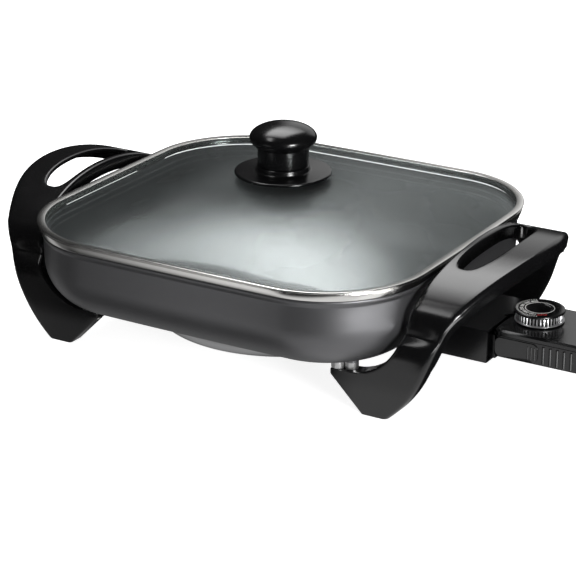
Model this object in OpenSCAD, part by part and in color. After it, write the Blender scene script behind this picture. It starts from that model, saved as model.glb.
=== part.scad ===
// Electric skillet: a rounded-square pan on two moulded handle-and-leg pieces, with a domed
// glass lid that lifts off and a plug-in temperature control that pulls out of its socket.
// Millimetres. The origin is on the pan's centre line at table level; +X points to the
// temperature control, -Y is the front and +Z is up.

/* [Pan] */
// Length of the pan between the handles, outside its wall
pan_length = 291.4; // [288:0.2:294]
// Width of the pan from front to back, outside its wall
pan_width = 276.6; // [270:0.2:286]
// Corner radius of the pan in plan
pan_corner = 67; // [60:1:74]
// How far each side of the pan bulges in plan
side_bow = 2; // [0:0.5:4]
// Height of the pan's rim above the table
pan_top = 89; // [84:0.5:94]
// Height of the pan's underside above the table
pan_bottom = 34; // [33:0.5:37]
// Radius between the pan's wall and its underside
pan_round = 34; // [30:1:38]
// Thickness of the pan's wall
pan_wall = 5; // [4:0.5:6]
// Thickness of the pan's floor
pan_floor = 4.5; // [4:0.5:6]
// Depth of the ledge inside the rim
ledge_depth = 3.6; // [3:0.2:5]

/* [Lid] */
// How far the lid's band stands out over the pan's wall
lid_overhang = 4.3; // [3:0.1:5]
// Height of the lid's steel band
band_height = 6.7; // [6:0.1:8]
// Thickness of the glass
glass_thick = 3.6; // [3:0.1:4]
// Height of the glass dome above its flat edge
dome_height = 25; // [16:1:30]
// Radius of the screw hole in the glass
glass_hole_r = 5; // [4:0.5:7]
// Gap between the lid and the pan that it rests on
lid_gap = 0.3; // [0.3:0.1:0.6]

/* [Knob] */
// Radius of the knob's wide heat disc
disc_r = 34.7; // [30:0.5:40]
// Thickness of the heat disc at its edge
disc_thick = 2.2; // [2:0.1:4]
// Radius of the knob's neck
neck_r = 18.3; // [14:0.5:20]
// Height of the collar below the neck
collar_height = 6.5; // [5:0.5:9]
// Height of the neck between the collar and the cap
neck_height = 13; // [8:0.5:16]
// Radius of the knob's cap
cap_r = 24; // [22:0.5:30]
// Height of the knob's cap
cap_height = 17.5; // [16:0.5:26]

/* [Handles] */
// Distance from the pan's wall to the inner edge of a grip
grip_stand = 9.8; // [9.4:0.2:12]
// Width of a grip at its middle
grip_width = 52; // [48:0.5:56]
// Height of the grip's crest above the table
grip_crest = 103.2; // [99:0.2:107]
// How far the grip has fallen 50 mm from its middle
grip_fall = 6.6; // [5.6:0.2:7.6]
// Depth of the grip's edges below its skin
grip_depth = 10; // [8:0.5:12]
// Thickness of the skin over the hollow underside of the grip
grip_skin = 3; // [2.4:0.2:4]
// Distance from the middle to the flat front face of a leg
leg_face = 99; // [98:0.5:101]
// Thickness of a leg from front to back
leg_thick = 13; // [12:0.5:15]
// How far the upper leg stands back from the leg's flat face
leg_step = 8; // [6:0.5:9]
// How far the outer corner of a foot is set in from the pan's wall
foot_set = 6.7; // [3:0.1:10]
// Width of a foot along the pan
foot_width = 20; // [16:0.5:24]
// Gap between a leg and the pan that it hugs
leg_gap = 6; // [5:0.5:6]
// Length of the finger slot
slot_length = 98; // [88:1:104]
// Width of the finger slot
slot_width = 22.3; // [19:0.1:24]

/* [Socket] */
// Height of the probe and of the two pins above the table
probe_z = 31.5; // [31:0.1:31.8]
// Distance between the two terminal pins
pin_gap = 34; // [32:0.5:36]
// Radius of a terminal pin
pin_r = 2.4; // [2:0.1:2.6]
// Half the width of the socket housing
guard_half = 33; // [32:0.5:35]
// Height of the socket housing
guard_height = 23.3; // [21:0.1:24]
// Distance from the pan's wall to the mouth of the socket housing
guard_reach = 33.3; // [30:0.1:36]
// Wall thickness of the socket housing
guard_wall = 1.8; // [1.5:0.1:2]

/* [Control] */
// Length of the control's case
case_length = 74; // [68:1:84]
// Half the width of the control's case
case_half = 30; // [28:0.5:32]
// Height of the case's underside above the table
case_bottom = 31; // [30:0.5:32]
// Height of the case's top above the table
case_top = 50; // [49:0.5:52]
// Wall thickness of the case
case_wall = 2.2; // [1.8:0.1:2.6]
// Radius of the heat-sensing probe
probe_r = 2.7; // [2.2:0.1:2.8]
// Distance from the element's rib to the probe's tip
tip_gap = 8; // [6:0.5:12]
// Radius of the dial
dial_r = 17.4; // [15:0.1:18]
// Height of the dial's ribbed skirt
skirt_height = 5.2; // [4:0.1:7]

/* [Underside] */
// Radius of the silver dish under the pan
dish_r = 95; // [90:0.5:98]
// Height of the dish's underside above the table
dish_bottom = 16; // [14:0.5:19]
// Radius of the heating element's ring
element_ring_r = 74; // [68:0.5:77]
// Radius of the element's tube
element_r = 3.5; // [3:0.1:3.8]

/* [Hidden] */

// Least gap between bodies that move past each other
run_gap = 0.3;
// Overlap that lets a cut pass clean through a face
cut = 1;
plastic = [0.05, 0.05, 0.055];
bright_steel = [0.78, 0.78, 0.8];

// ---- Plan outlines ----
pan_a = pan_length / 2;
pan_b = pan_width / 2;
corner_steps = 10;
side_steps = 4;

function corner_centre(q, a, b, r) =
    [(q == 0 || q == 3 ? 1 : -1) * (a - r), (q < 2 ? 1 : -1) * (b - r)];
function dir(t) = [cos(t), sin(t)];

// Rounded rectangle of half sizes a and b and corner radius r, anticlockwise: for each
// quarter its corner arc in n steps, then points along the straight side that follows
function rounded_rect(a, b, r, n, m = 1) = [
    for (q = [0:3])
        let (c = corner_centre(q, a, b, r),
             from = c + r * dir(90 * q + 90),
             to = corner_centre((q + 1) % 4, a, b, r) + r * dir(90 * q + 90))
        each concat([for (i = [0:n]) c + r * dir(90 * q + 90 * i / n)],
                    [for (i = [1:1:m - 1]) from + (to - from) * i / m])];

// The pan's outline drawn in by inset (let out where inset is negative), at height z.
// Each side bulges outwards by a parabola of height side_bow.
function pan_ring(inset, z) =
    let (a = pan_a - side_bow - inset, b = pan_b - side_bow - inset)
    [for (p = rounded_rect(a, b, pan_corner - inset, corner_steps, side_steps))
        [p.x + side_bow * p.x / a * (1 - pow(p.y / b, 2)),
         p.y + side_bow * p.y / b * (1 - pow(p.x / a, 2)), z]];
function lid_ring(inset, z) = pan_ring(inset - lid_overhang, z);

// Skin through rings of equal count, each anticlockwise seen from the last ring.
// closed joins the last ring to the first; otherwise both ends get a flat cap.
module loft(rings, closed = false) {
    n = len(rings[0]);
    m = len(rings);
    side = [for (i = [0:m - (closed ? 1 : 2)], j = [0:n - 1])
        let (k = (j + 1) % n, u = (i + 1) % m)
        each [[i * n + j, u * n + j, u * n + k], [i * n + j, u * n + k, i * n + k]]];
    caps = closed ? [] : [[for (j = [0:n - 1]) j], [for (j = [n - 1:-1:0]) (m - 1) * n + j]];
    polyhedron(points = [for (r = rings) each r], faces = concat(side, caps), convexity = 8);
}

module slab(a, b, r, h, n = 6) {
    linear_extrude(h)
        polygon(rounded_rect(a, b, r, n));
}

module ring(outer, inner, h) {
    difference() {
        cylinder(h = h, r = outer, $fn = 64);
        translate([0, 0, -cut])
            cylinder(h = h + 2 * cut, r = inner, $fn = 48);
    }
}

// Puts its children at y = d and mirrored at y = -d
module both_y(d) {
    for (s = [-1, 1])
        translate([0, s * d, 0])
            children();
}

module along_x() {
    rotate([0, 90, 0])
        children();
}

// A screw pointing up, its head's top face at z = 0
module screw(shank, length, head, head_height) {
    cylinder(h = length, r = shank, $fn = 24);
    difference() {
        translate([0, 0, -head_height])
            cylinder(h = head_height, r = head, $fn = 32);
        for (t = [0, 90])
            rotate([0, 0, t])
                translate([-head * 0.6, -0.4, -head_height - cut])
                    cube([head * 1.2, 0.8, cut + head_height / 2]);
    }
}

// ---- Places shared by several pieces ----
grip_inner = pan_a + grip_stand;
grip_outer = grip_inner + grip_width;
foot_outer = pan_a - foot_set;
foot_inner = foot_outer - foot_width;
guard_mouth = pan_a + guard_reach;
round_steps = 7;
inner_round = pan_round - pan_wall;
wall_z = pan_bottom + pan_round;
lip_out = 1.6;
band_z = pan_top + lid_gap;
lid_top = band_z + band_height;
lip_sheet = 1;
glass_z = lid_top - lip_sheet;
crown_z = glass_z + dome_height;

hug_r = pan_round + leg_gap;
arm_top = wall_z - hug_r;
post_r = 4.6;
screw_r = 1.8;
screw_grip = 5;
head_r = 3.2;
head_h = 2;
post_set = 46.7;
post_in = 5;
post_step = [9, -3];
first_post = [pan_a - post_set, leg_face - post_in];
posts = [first_post, first_post + post_step];

// The socket housing stands just off the pan's round, measured at the housing's top
guard_z = 25.5;
guard_stand = 0.94;
guard_back = pan_a - pan_round + guard_stand
    + sqrt(pow(pan_round, 2) - pow(wall_z - guard_z - guard_height, 2));

element_z = pan_bottom - 3;
element_end_x = sqrt(pow(element_ring_r, 2) - pow(pin_gap / 2, 2));
rib_height = 5;
rib_half = 6.5;
well_r = probe_r + run_gap;
well_wall = 3;
bush_set = 16.2;
bush_x = guard_back - bush_set;
bush_length = 12;
bush_r = 5;
bush_step = 1.8;
pin_recess = 11;
pin_tip = guard_mouth - pin_recess;

case_start = guard_mouth + 1.5;
case_mid = case_start + case_length / 2;
probe_tip = element_ring_r + rib_half + tip_gap;
well_inner = probe_tip - 2;
well_set = 4;
well_mouth = guard_back - well_set;

dish_sheet = 1;
hub_r = 8;
hub_z = dish_bottom + dish_sheet;

tab_thick = 3;
tab_set = 29.7;
tab_in = 5.5;
tab_post = [pan_a - tab_set, guard_half - tab_in];
tab_top = guard_z + tab_thick;

// ---- Pan ----
// [inset, height] down the pan's section: underside, wall, flared lip, lid ledge, inside
pan_profile = concat(
    [for (i = [0:round_steps]) let (t = 90 - 90 * i / round_steps)
        [pan_round * (1 - cos(t)), pan_bottom + pan_round * (1 - sin(t))]],
    [[0, pan_top - 5], [-lip_out, pan_top - 2.6], [-lip_out - 0.4, pan_top - 1.2],
     [-lip_out, pan_top - 0.2], [-lip_out + 0.8, pan_top], [2, pan_top],
     [2.6, pan_top - 0.5], [2.8, pan_top - ledge_depth + 0.3],
     [pan_wall - 1.2, pan_top - ledge_depth - 0.1],
     [pan_wall - 0.9, pan_top - ledge_depth - 0.6], [pan_wall - 0.9, pan_top - 2 * ledge_depth],
     [pan_wall, pan_top - 2 * ledge_depth - 0.7]],
    [for (i = [0:round_steps]) let (t = 90 * i / round_steps)
        [pan_round - inner_round * cos(t), pan_bottom + pan_floor + inner_round * (1 - sin(t))]]);

module at_posts() {
    for (sx = [-1, 1], sy = [-1, 1], p = posts)
        translate([sx * p.x, sy * p.y, 0])
            children();
}

module pan() {
    color([0.14, 0.14, 0.15])
    difference() {
        union() {
            loft([for (p = pan_profile) pan_ring(p.x, p.y)]);
            at_posts()
                translate([0, 0, arm_top])
                    cylinder(h = pan_bottom - arm_top + 3, r = post_r, $fn = 32);
            translate([0, 0, pan_bottom - rib_height])
                ring(element_ring_r + rib_half, element_ring_r - rib_half, rib_height + 1);
            translate([0, 0, hub_z])
                cylinder(h = pan_bottom - hub_z + 1, r = hub_r, $fn = 48);
            translate([well_inner - well_wall, 0, probe_z])
                along_x()
                    cylinder(h = well_mouth - well_inner + well_wall, r = well_r + well_wall, $fn = 48);
            both_y(tab_post.y)
                translate([tab_post.x, 0, tab_top])
                    cylinder(h = pan_bottom - tab_top + 3, r = post_r, $fn = 32);
        }
        // Groove that the element lies in, with the run of its two straight ends
        translate([0, 0, element_z])
            rotate_extrude($fn = 96)
                translate([element_ring_r, 0])
                    circle(r = element_r, $fn = 24);
        both_y(pin_gap / 2)
            translate([element_end_x, 0, element_z])
                along_x()
                    cylinder(h = bush_x - element_end_x, r = element_r + run_gap, $fn = 32);
        translate([well_inner, 0, probe_z])
            along_x()
                cylinder(h = well_mouth - well_inner + cut, r = well_r, $fn = 48);
        at_posts()
            translate([0, 0, arm_top - cut])
                cylinder(h = screw_grip + 1 + cut, r = screw_r, $fn = 24);
        both_y(tab_post.y)
            translate([tab_post.x, 0, tab_top - cut])
                cylinder(h = screw_grip + 1 + cut, r = screw_r, $fn = 24);
        translate([0, 0, hub_z - cut])
            cylinder(h = screw_grip + 3 + cut, r = screw_r, $fn = 24);
    }
}

// ---- Heating element and terminals ----
module heating_element() {
    open = asin(pin_gap / 2 / element_ring_r);
    color([0.32, 0.31, 0.3])
    union() {
        translate([0, 0, element_z])
            rotate([0, 0, open])
                rotate_extrude(angle = 360 - 2 * open, $fn = 96)
                    translate([element_ring_r, 0])
                        circle(r = element_r, $fn = 24);
        both_y(pin_gap / 2)
            translate([element_end_x, 0, element_z]) {
                sphere(r = element_r, $fn = 32);
                along_x()
                    cylinder(h = bush_x - element_end_x + bush_step, r = element_r, $fn = 32);
            }
    }
}

module terminal_bushes() {
    color([0.9, 0.88, 0.82])
    both_y(pin_gap / 2)
        translate([bush_x, 0, element_z])
            along_x()
                difference() {
                    union() {
                        cylinder(h = bush_length, r = bush_r, $fn = 40);
                        translate([0, 0, bush_length / 2 - 1])
                            cylinder(h = 2, r = bush_r + 1, $fn = 40);
                    }
                    translate([0, 0, -cut])
                        cylinder(h = cut + bush_step, r = element_r, $fn = 32);
                    cylinder(h = bush_length + cut, r = pin_r, $fn = 32);
                }
}

module terminal_pin(side) {
    color([0.75, 0.74, 0.7])
    translate([bush_x + bush_step, side * pin_gap / 2, element_z])
        along_x() {
            cylinder(h = pin_tip - bush_x - bush_step - pin_r, r = pin_r, $fn = 32);
            translate([0, 0, pin_tip - bush_x - bush_step - pin_r])
                sphere(r = pin_r, $fn = 32);
        }
}

module terminal_pin_front() {
    terminal_pin(-1);
}

module terminal_pin_rear() {
    terminal_pin(1);
}

// ---- Reflector dish ----
dish_round = 10;
dish_profile = concat(
    [[screw_r + 0.2, dish_bottom]],
    [for (t = [0:15:90]) [dish_r - dish_round + dish_round * sin(t),
                          dish_bottom + dish_round * (1 - cos(t))]],
    [[dish_r, pan_bottom], [dish_r - dish_sheet, pan_bottom]],
    [for (t = [90:-15:0]) let (r = dish_round - dish_sheet)
        [dish_r - dish_round + r * sin(t), dish_bottom + dish_round - r * cos(t)]],
    [[screw_r + 0.2, dish_bottom + dish_sheet]]);

module reflector_plate() {
    color([0.72, 0.72, 0.74])
    difference() {
        rotate_extrude($fn = 120)
            polygon(dish_profile);
        // Window for the element's ends and the probe well
        translate([dish_r - 2 * dish_round, -pin_gap / 2 - 7, probe_z - well_r - well_wall - 1])
            cube([3 * dish_round, pin_gap + 14, pan_bottom]);
    }
}

module reflector_washer() {
    color(bright_steel)
    translate([0, 0, dish_bottom - 1.2])
        ring(7, screw_r + 0.2, 1.2);
}

module reflector_screw() {
    color(bright_steel)
    translate([0, 0, dish_bottom - 1.2])
        screw(screw_r, dish_sheet + 1.2 + screw_grip, head_r, head_h);
}

// ---- Socket housing ----
nose_gap = 0.6;
guard_length = guard_mouth - guard_back;

module terminal_guard() {
    inner_half = guard_half - guard_wall;
    color(plastic)
    difference() {
        union() {
            translate([guard_back, -guard_half, guard_z])
                cube([guard_length, 2 * guard_half, guard_height]);
            both_y(0)
                for (s = [-1, 1])
                    translate([tab_post.x - 7, s > 0 ? tab_post.y - 4.5 : -guard_half, guard_z])
                        cube([guard_back - tab_post.x + 8, guard_half - tab_post.y + 4.5, tab_thick]);
        }
        translate([guard_back + guard_wall, -inner_half, guard_z + guard_wall])
            cube([guard_length, 2 * inner_half, guard_height - 2 * guard_wall]);
        // Holes in the back wall for the probe and the pins
        translate([guard_back - cut, 0, probe_z])
            along_x()
                cylinder(h = guard_wall + 2 * cut, r = well_r + 0.5, $fn = 40);
        both_y(pin_gap / 2)
            translate([guard_back - cut, 0, element_z])
                along_x()
                    cylinder(h = guard_wall + 2 * cut, r = pin_r + 0.5, $fn = 40);
        both_y(tab_post.y)
            translate([tab_post.x, 0, guard_z - cut])
                cylinder(h = tab_thick + 2 * cut, r = screw_r + 0.2, $fn = 24);
    }
}

module guard_screws() {
    color(bright_steel)
    both_y(tab_post.y)
        translate([tab_post.x, 0, guard_z])
            screw(screw_r, tab_thick + screw_grip, head_r, head_h);
}

// ---- Handles ----
// The skin of a handle seen along X: an arched crest, a roll down to the upright, a step
// that swells out to the leg's flat face, and the leg down to the foot.
crest_quartic = 14.5;
crest_square = (grip_fall - crest_quartic * pow(0.5, 4)) / pow(0.5, 2);
function crest(y) = grip_crest - crest_square * pow(y / 100, 2) - crest_quartic * pow(y / 100, 4);
upright = leg_face - leg_step;
roll_width = 8;
roll_start = upright - roll_width;
roll_tilt = atan((2 * crest_square * roll_start / 100
                  + 4 * crest_quartic * pow(roll_start / 100, 3)) / 100);
roll_r = (upright - roll_start) / (1 - sin(roll_tilt));
roll_end_z = crest(roll_start) - roll_r * cos(roll_tilt);
step_top_z = roll_end_z - 5;
step_height = 16;
step_end_z = step_top_z - step_height;
leg_turn = acos((wall_z - step_end_z) / hug_r);

// The step fades out towards the outer edge, which swells out slowly over a greater height
swell_height = roll_end_z - arm_top;
function outer_face(z) =
    let (u = min((roll_end_z - z) / swell_height, 1))
    upright + leg_step * u * u * (3 - 2 * u);

// Outer edge of a handle seen from the front: narrowest slope at the waist, flaring above
// it to the grip and tucking in below it to the foot by cubes of the distance
waist_z = 51;
waist_stand = 25.1;
waist_x = pan_a + waist_stand;
waist_slope = 0.36;
flare = (grip_outer - waist_x - waist_slope * (grip_crest - waist_z))
        / pow(grip_crest - waist_z, 3);
tuck = (waist_x - waist_slope * waist_z - foot_outer) / pow(waist_z, 3);
function outer_x(z) = waist_x + waist_slope * (z - waist_z)
    + (z > waist_z ? flare : tuck) * pow(z - waist_z, 3);

// Inner edge: follows the lid above, hugs the pan's round below, then the arm and the
// sloping side of the foot
inner_bow = 8.5;
function inner_x(y) = grip_inner - inner_bow * pow(y / 100, 2);
hug_x = inner_x(leg_face) - hug_r;
arm_reach = 50.7;
arm_tip = pan_a - arm_reach;

// Stations of a handle from the front foot to the crest: [y, z, inner edge]
leg_stations = concat(
    [[leg_face, 0, foot_inner],
     [leg_face, (foot_inner - arm_tip) / 2, (foot_inner + arm_tip) / 2],
     [leg_face, foot_inner - arm_tip, arm_tip], [leg_face, arm_top - 0.04, arm_tip]],
    [for (i = [0:4]) let (t = leg_turn * i / 5)
        [leg_face, wall_z - hug_r * cos(t), hug_x + hug_r * sin(t)]]);
step_stations = [for (u = [1, 0.75, 0.5, 0.3, 0.15, 0])
    let (z = step_top_z - u * step_height)
    [upright + leg_step * (1 - pow(1 - u, 2)), z,
     hug_x + (z < wall_z ? sqrt(pow(hug_r, 2) - pow(wall_z - z, 2)) : hug_r)]];
roll_stations = [for (i = [0:5]) let (t = 90 - (90 - roll_tilt) * i / 5, y = roll_start
                                      + roll_r * (sin(t) - sin(roll_tilt)))
    [y, roll_end_z + roll_r * cos(t), inner_x(y)]];
crest_stations = [for (i = [1:6]) let (y = roll_start * (1 - i / 7)) [y, crest(y), inner_x(y)]];
half_stations = concat(leg_stations, step_stations, roll_stations, crest_stations);
half_count = len(half_stations);
stations = concat(
    [for (s = half_stations) [-s[0], s[1], s[2]]],
    [[0, grip_crest, inner_x(0)]],
    [for (i = [half_count - 1:-1:0]) half_stations[i]]);

// The path at station i, as [y, z], a share w of the way from the inner to the outer edge
function face_at(i, w) =
    let (s = stations[i],
         lean = s[1] < roll_end_z ? sign(s[0]) * (outer_face(s[1]) - abs(s[0])) : 0)
    [s[0] + w * lean, s[1]];

// Direction into the handle there: the path's direction turned a quarter turn
function inward(i, w) =
    let (last = len(stations) - 1,
         d = (i == 0) ? [0, 1] : (i == last) ? [0, -1] : face_at(i + 1, w) - face_at(i - 1, w))
    [d[1], -d[0]] / norm(d);

inner_edge_r = 2.2;
outer_edge_r = 4;
back_bevel = 1;
function rounded_x(x, r, a, side) = [x + side * r * (1 - cos(a)), r * (1 - sin(a))];
function into(i, p) =
    let (x0 = stations[i][2], w = min(max((p.x - x0) / (outer_x(stations[i][1]) - x0), 0), 1),
         q = face_at(i, w) + p.y * inward(i, w))
    [p.x, q[0], q[1]];

// Section of a handle between its inner and outer edges: rounded on the skin side
function handle_section(i) =
    let (s = stations[i], x0 = s[2], x1 = outer_x(s[1]),
         blend = min(max((s[1] - step_end_z) / (grip_crest - step_end_z), 0), 1),
         t = leg_thick + (grip_depth - leg_thick) * blend,
         flat = concat(
             [for (a = [0:30:90]) rounded_x(x0, inner_edge_r, a, 1)],
             [for (a = [90:-22.5:0]) rounded_x(x1, outer_edge_r, a, -1)],
             [[x1, t - back_bevel], [x1 - back_bevel, t], [x0 + back_bevel, t], [x0, t - back_bevel]]))
    [for (p = flat) into(i, p)];

slot_strip = 6.5;
slot_mid = grip_inner + slot_strip + slot_width / 2;
slot_bend = 5;
slot_power = 3;
// Finger slot in plan: a superellipse whose ends bend in towards the pan
slot_outline = [for (t = [0:9:351])
    let (c = cos(t), s = sin(t), v = sign(s) * pow(abs(s), 2 / slot_power))
    [slot_mid - slot_bend * v * v + slot_width / 2 * sign(c) * pow(abs(c), 2 / slot_power),
     slot_length / 2 * v]];

// Hollow under the outer part of the grip, between the slot and the outer edge
crest_count = len(crest_stations);
outer_wall = 3.5;
function hollow_section(i) =
    let (x1 = outer_x(stations[i][1]) - outer_wall, deep = 3 * grip_depth)
    [for (p = [[slot_mid, grip_skin], [x1, grip_skin], [x1, deep], [slot_mid, deep]]) into(i, p)];

module handle() {
    difference() {
        loft([for (i = [0:len(stations) - 1]) handle_section(i)]);
        loft([for (i = [half_count - crest_count:half_count + crest_count]) hollow_section(i)]);
        translate([0, 0, grip_crest - 40])
            linear_extrude(60)
                polygon(slot_outline);
        for (sy = [-1, 1], p = posts)
            translate([p.x, sy * p.y, 0]) {
                translate([0, 0, arm_top])
                    cylinder(h = 6, r = post_r + 0.2, $fn = 32);
                translate([0, 0, arm_top - 6])
                    cylinder(h = 7, r = screw_r + 0.3, $fn = 24);
                translate([0, 0, -cut])
                    cylinder(h = arm_top - 4 + cut, r = head_r + 0.4, $fn = 32);
            }
    }
}

module handle_right() {
    color(plastic)
        handle();
}

module handle_left() {
    color(plastic)
    mirror([1, 0, 0])
        handle();
}

module handle_screws() {
    color(bright_steel)
    at_posts()
        translate([0, 0, arm_top - 4])
            screw(screw_r, 4 + screw_grip, head_r, head_h);
}

// ---- Lid ----
glass_inset = 2.3;
channel = 5.6;
crown_share = 0.23;
shares = [crown_share, 0.37, 0.5, 0.63, 0.76, 0.88, 1];

// Ring of the dome at a share of its full size: the lid's outline easing to a circle
function dome_ring(share, drop) =
    let (rise = dome_height * (1 - pow((share - crown_share) / (1 - crown_share), 2)),
         mid = pan_a + lid_overhang - channel, mix = 1 - share)
    [for (p = lid_ring(channel, 0))
        let (len2 = norm([p.x, p.y]), k = share * ((1 - mix) + mix * mid / len2))
        [k * p.x, k * p.y, glass_z + rise - drop]];

module lid_glass() {
    color([0.75, 0.82, 0.8, 0.35])
    difference() {
        loft(concat(
            [for (s = shares) dome_ring(s, glass_thick)],
            [lid_ring(glass_inset, glass_z - glass_thick), lid_ring(glass_inset, glass_z)],
            [for (i = [len(shares) - 1:-1:0]) dome_ring(shares[i], 0)]));
        translate([0, 0, crown_z - glass_thick - cut])
            cylinder(h = glass_thick + 2 * cut, r = glass_hole_r, $fn = 48);
    }
}

// [inset, height] round the band's section: a sloping face, a groove, a rolled bead and
// two lips that hold the edge of the glass
band_profile = [
    [2.6, band_z], [1.6, band_z], [0.4, lid_top - 2.1], [0.9, lid_top - 1.8],
    [0.9, lid_top - 1.4], [0.1, lid_top - 1.1], [0, lid_top - 0.6], [0.5, lid_top],
    [1.5, lid_top], [channel, glass_z + 0.6], [channel, glass_z], [glass_inset - 0.1, glass_z],
    [glass_inset - 0.1, glass_z - glass_thick], [channel, glass_z - glass_thick],
    [channel, glass_z - glass_thick - 0.7], [2.6, glass_z - glass_thick - 0.7]];

module lid_rim() {
    color(bright_steel)
        loft([for (p = band_profile) lid_ring(p.x, p.y)], closed = true);
}

// ---- Knob ----
seal_thick = 1;
disc_z = crown_z + seal_thick;
collar_z = disc_z + collar_height;
neck_top = collar_z + neck_height;
cap_mid = neck_top + cap_height * 0.4;
insert_depth = 12;
knob_screw_r = 2.4;

module knob_seal() {
    color([0.2, 0.2, 0.2])
    translate([0, 0, crown_z])
        ring(disc_r - 4.7, glass_hole_r, seal_thick);
}

module knob_base() {
    color(plastic)
    rotate_extrude($fn = 72)
        polygon([
            [knob_screw_r, disc_z], [disc_r - 0.6, disc_z], [disc_r, disc_z + 0.6],
            [disc_r, disc_z + disc_thick - 0.6], [disc_r - 0.7, disc_z + disc_thick],
            [neck_r + 1.6, disc_z + disc_thick + 0.4], [neck_r + 0.8, disc_z + disc_thick + 1],
            [neck_r + 0.6, collar_z - 0.6], [neck_r, collar_z], [knob_screw_r, collar_z]]);
}

// The cap's side is two half ellipses that meet at its widest place
cap_low = (cap_mid - neck_top) / sin(acos(neck_r / cap_r));
module knob_cap() {
    low = acos(neck_r / cap_r);
    color(plastic)
    difference() {
        rotate_extrude($fn = 72)
            polygon(concat(
                [[0, collar_z], [neck_r - 0.6, collar_z], [neck_r, collar_z + 0.6]],
                [for (i = [0:4]) let (t = -low + low * i / 4)
                    [cap_r * cos(t), cap_mid + cap_low * sin(t)]],
                [for (t = [12:13:77]) [cap_r * cos(t),
                    cap_mid + (neck_top + cap_height - cap_mid) * sin(t)]],
                [[0, neck_top + cap_height]]));
        translate([0, 0, collar_z - cut])
            cylinder(h = insert_depth + cut, r = knob_screw_r, $fn = 32);
    }
}

module knob_washer() {
    color(bright_steel)
    translate([0, 0, crown_z - glass_thick - 1.2])
        ring(13, knob_screw_r, 1.2);
}

module knob_screw() {
    color(bright_steel)
    translate([0, 0, crown_z - glass_thick - 1.2])
        screw(knob_screw_r, collar_z - crown_z + glass_thick + 1.2 + insert_depth - 1, 4.8, 2.6);
}

// ---- Plug-in control ----
case_a = case_length / 2;
case_corner = 7;
part_z = case_top - 4;
nose_half = guard_half - guard_wall - 4;
nose_low = guard_z + guard_wall + nose_gap;
nose_high = case_top - 5.6;
nose_start = guard_back + guard_wall + 11;
sleeve_wall = 0.9;
sleeve_r = pin_r + run_gap + sleeve_wall;
case_posts = [case_a - 9, case_half - 8];
dial_x = case_start + 21.5;
shaft_r = 3;
rib_pitch = 5;
rib_count = 5;
rib_r = 1;
pad_length = 31;
pad_rise = 0.8;
pad_start = case_start + 3.5;
pad_end = pad_start + pad_length;
fine_rib_r = 0.5;
fine_pitch = 2.5;

module at_case_posts() {
    for (sx = [-1, 1], sy = [-1, 1])
        translate([case_mid + sx * case_posts.x, sy * case_posts.y, 0])
            children();
}

module control_case_bottom() {
    height = part_z - case_bottom;
    color(plastic)
    difference() {
        union() {
            difference() {
                translate([case_mid, 0, case_bottom])
                    slab(case_a, case_half, case_corner, height);
                translate([case_mid, 0, case_bottom + case_wall])
                    slab(case_a - case_wall, case_half - case_wall, case_corner - case_wall, height);
            }
            at_case_posts()
                translate([0, 0, case_bottom])
                    cylinder(h = height, r = 3.6, $fn = 32);
            // Raised pad on both long sides with fine ribs at its end, then finger ribs
            both_y(case_half)
                translate([(pad_start + pad_end) / 2, pad_rise, case_bottom + height / 2])
                    rotate([90, 0, 0])
                        slab(pad_length / 2, height / 2 - 0.8, 4, 2 * pad_rise);
            for (i = [0:2])
                both_y(case_half + pad_rise)
                    translate([pad_end - 2 - i * fine_pitch, 0, case_bottom + 3])
                        cylinder(h = height - 6, r = fine_rib_r, $fn = 16);
            for (i = [0:rib_count - 1])
                both_y(case_half)
                    translate([pad_end + 4 + i * rib_pitch, 0, case_bottom + 1.5])
                        cylinder(h = height - 3, r = rib_r, $fn = 20);
            // Nose that enters the socket housing
            translate([nose_start, -nose_half, nose_low])
                cube([case_start + case_wall - nose_start, 2 * nose_half, nose_high - nose_low]);
        }
        translate([nose_start - cut, 0, probe_z])
            along_x()
                cylinder(h = case_start + case_wall - nose_start + 2 * cut, r = probe_r, $fn = 40);
        both_y(pin_gap / 2)
            translate([nose_start - cut, 0, element_z])
                along_x()
                    cylinder(h = case_start - nose_start, r = sleeve_r, $fn = 40);
        at_case_posts() {
            translate([0, 0, case_bottom - cut])
                cylinder(h = cut + 2.4, r = 2.9, $fn = 24);
            translate([0, 0, case_bottom])
                cylinder(h = height + cut, r = 1.5, $fn = 24);
        }
        translate([case_start + case_length - case_wall - cut, 0, gland_z])
            along_x()
                cylinder(h = case_wall + 2 * cut, r = gland_r, $fn = 40);
    }
}

index_size = 6;
module control_case_top() {
    height = case_top - part_z;
    bevel = 1.4;
    color(plastic)
    difference() {
        union() {
            loft([for (p = [[0.5, 0], [0.5, height - bevel], [0.5 + bevel, height]])
                [for (q = rounded_rect(case_a - p.x, case_half - p.x, case_corner - p.x + 0.5, 6))
                    [case_mid + q.x, q.y, part_z + p.y]]]);
            // Raised seat of the dial and the index that its scale is read against
            translate([dial_x, 0, part_z])
                cylinder(h = height + 0.6, r = dial_r - 3, $fn = 64);
            translate([dial_x - dial_r - index_size - 0.6, 0, case_top - 0.5])
                linear_extrude(1.7)
                    polygon([[0, -index_size * 0.7], [index_size, 0], [0, index_size * 0.7]]);
        }
        translate([case_mid, 0, part_z - cut])
            slab(case_a - case_wall - 1, case_half - case_wall - 1, case_corner - case_wall, cut + 1.2);
        translate([dial_x, 0, part_z - cut])
            cylinder(h = height + 4, r = shaft_r + run_gap, $fn = 40);
        at_case_posts()
            translate([0, 0, part_z - cut])
                cylinder(h = 2.2 + cut, r = 1.5, $fn = 24);
        translate([lens_x, 0, part_z - cut])
            cylinder(h = height + 2 * cut, r = lens_r, $fn = 40);
    }
}

module case_screws() {
    color(bright_steel)
    at_case_posts()
        translate([0, 0, case_bottom + 2.4])
            screw(1.5, part_z - case_bottom - 0.4, 2.6, 1.8);
}

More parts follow.
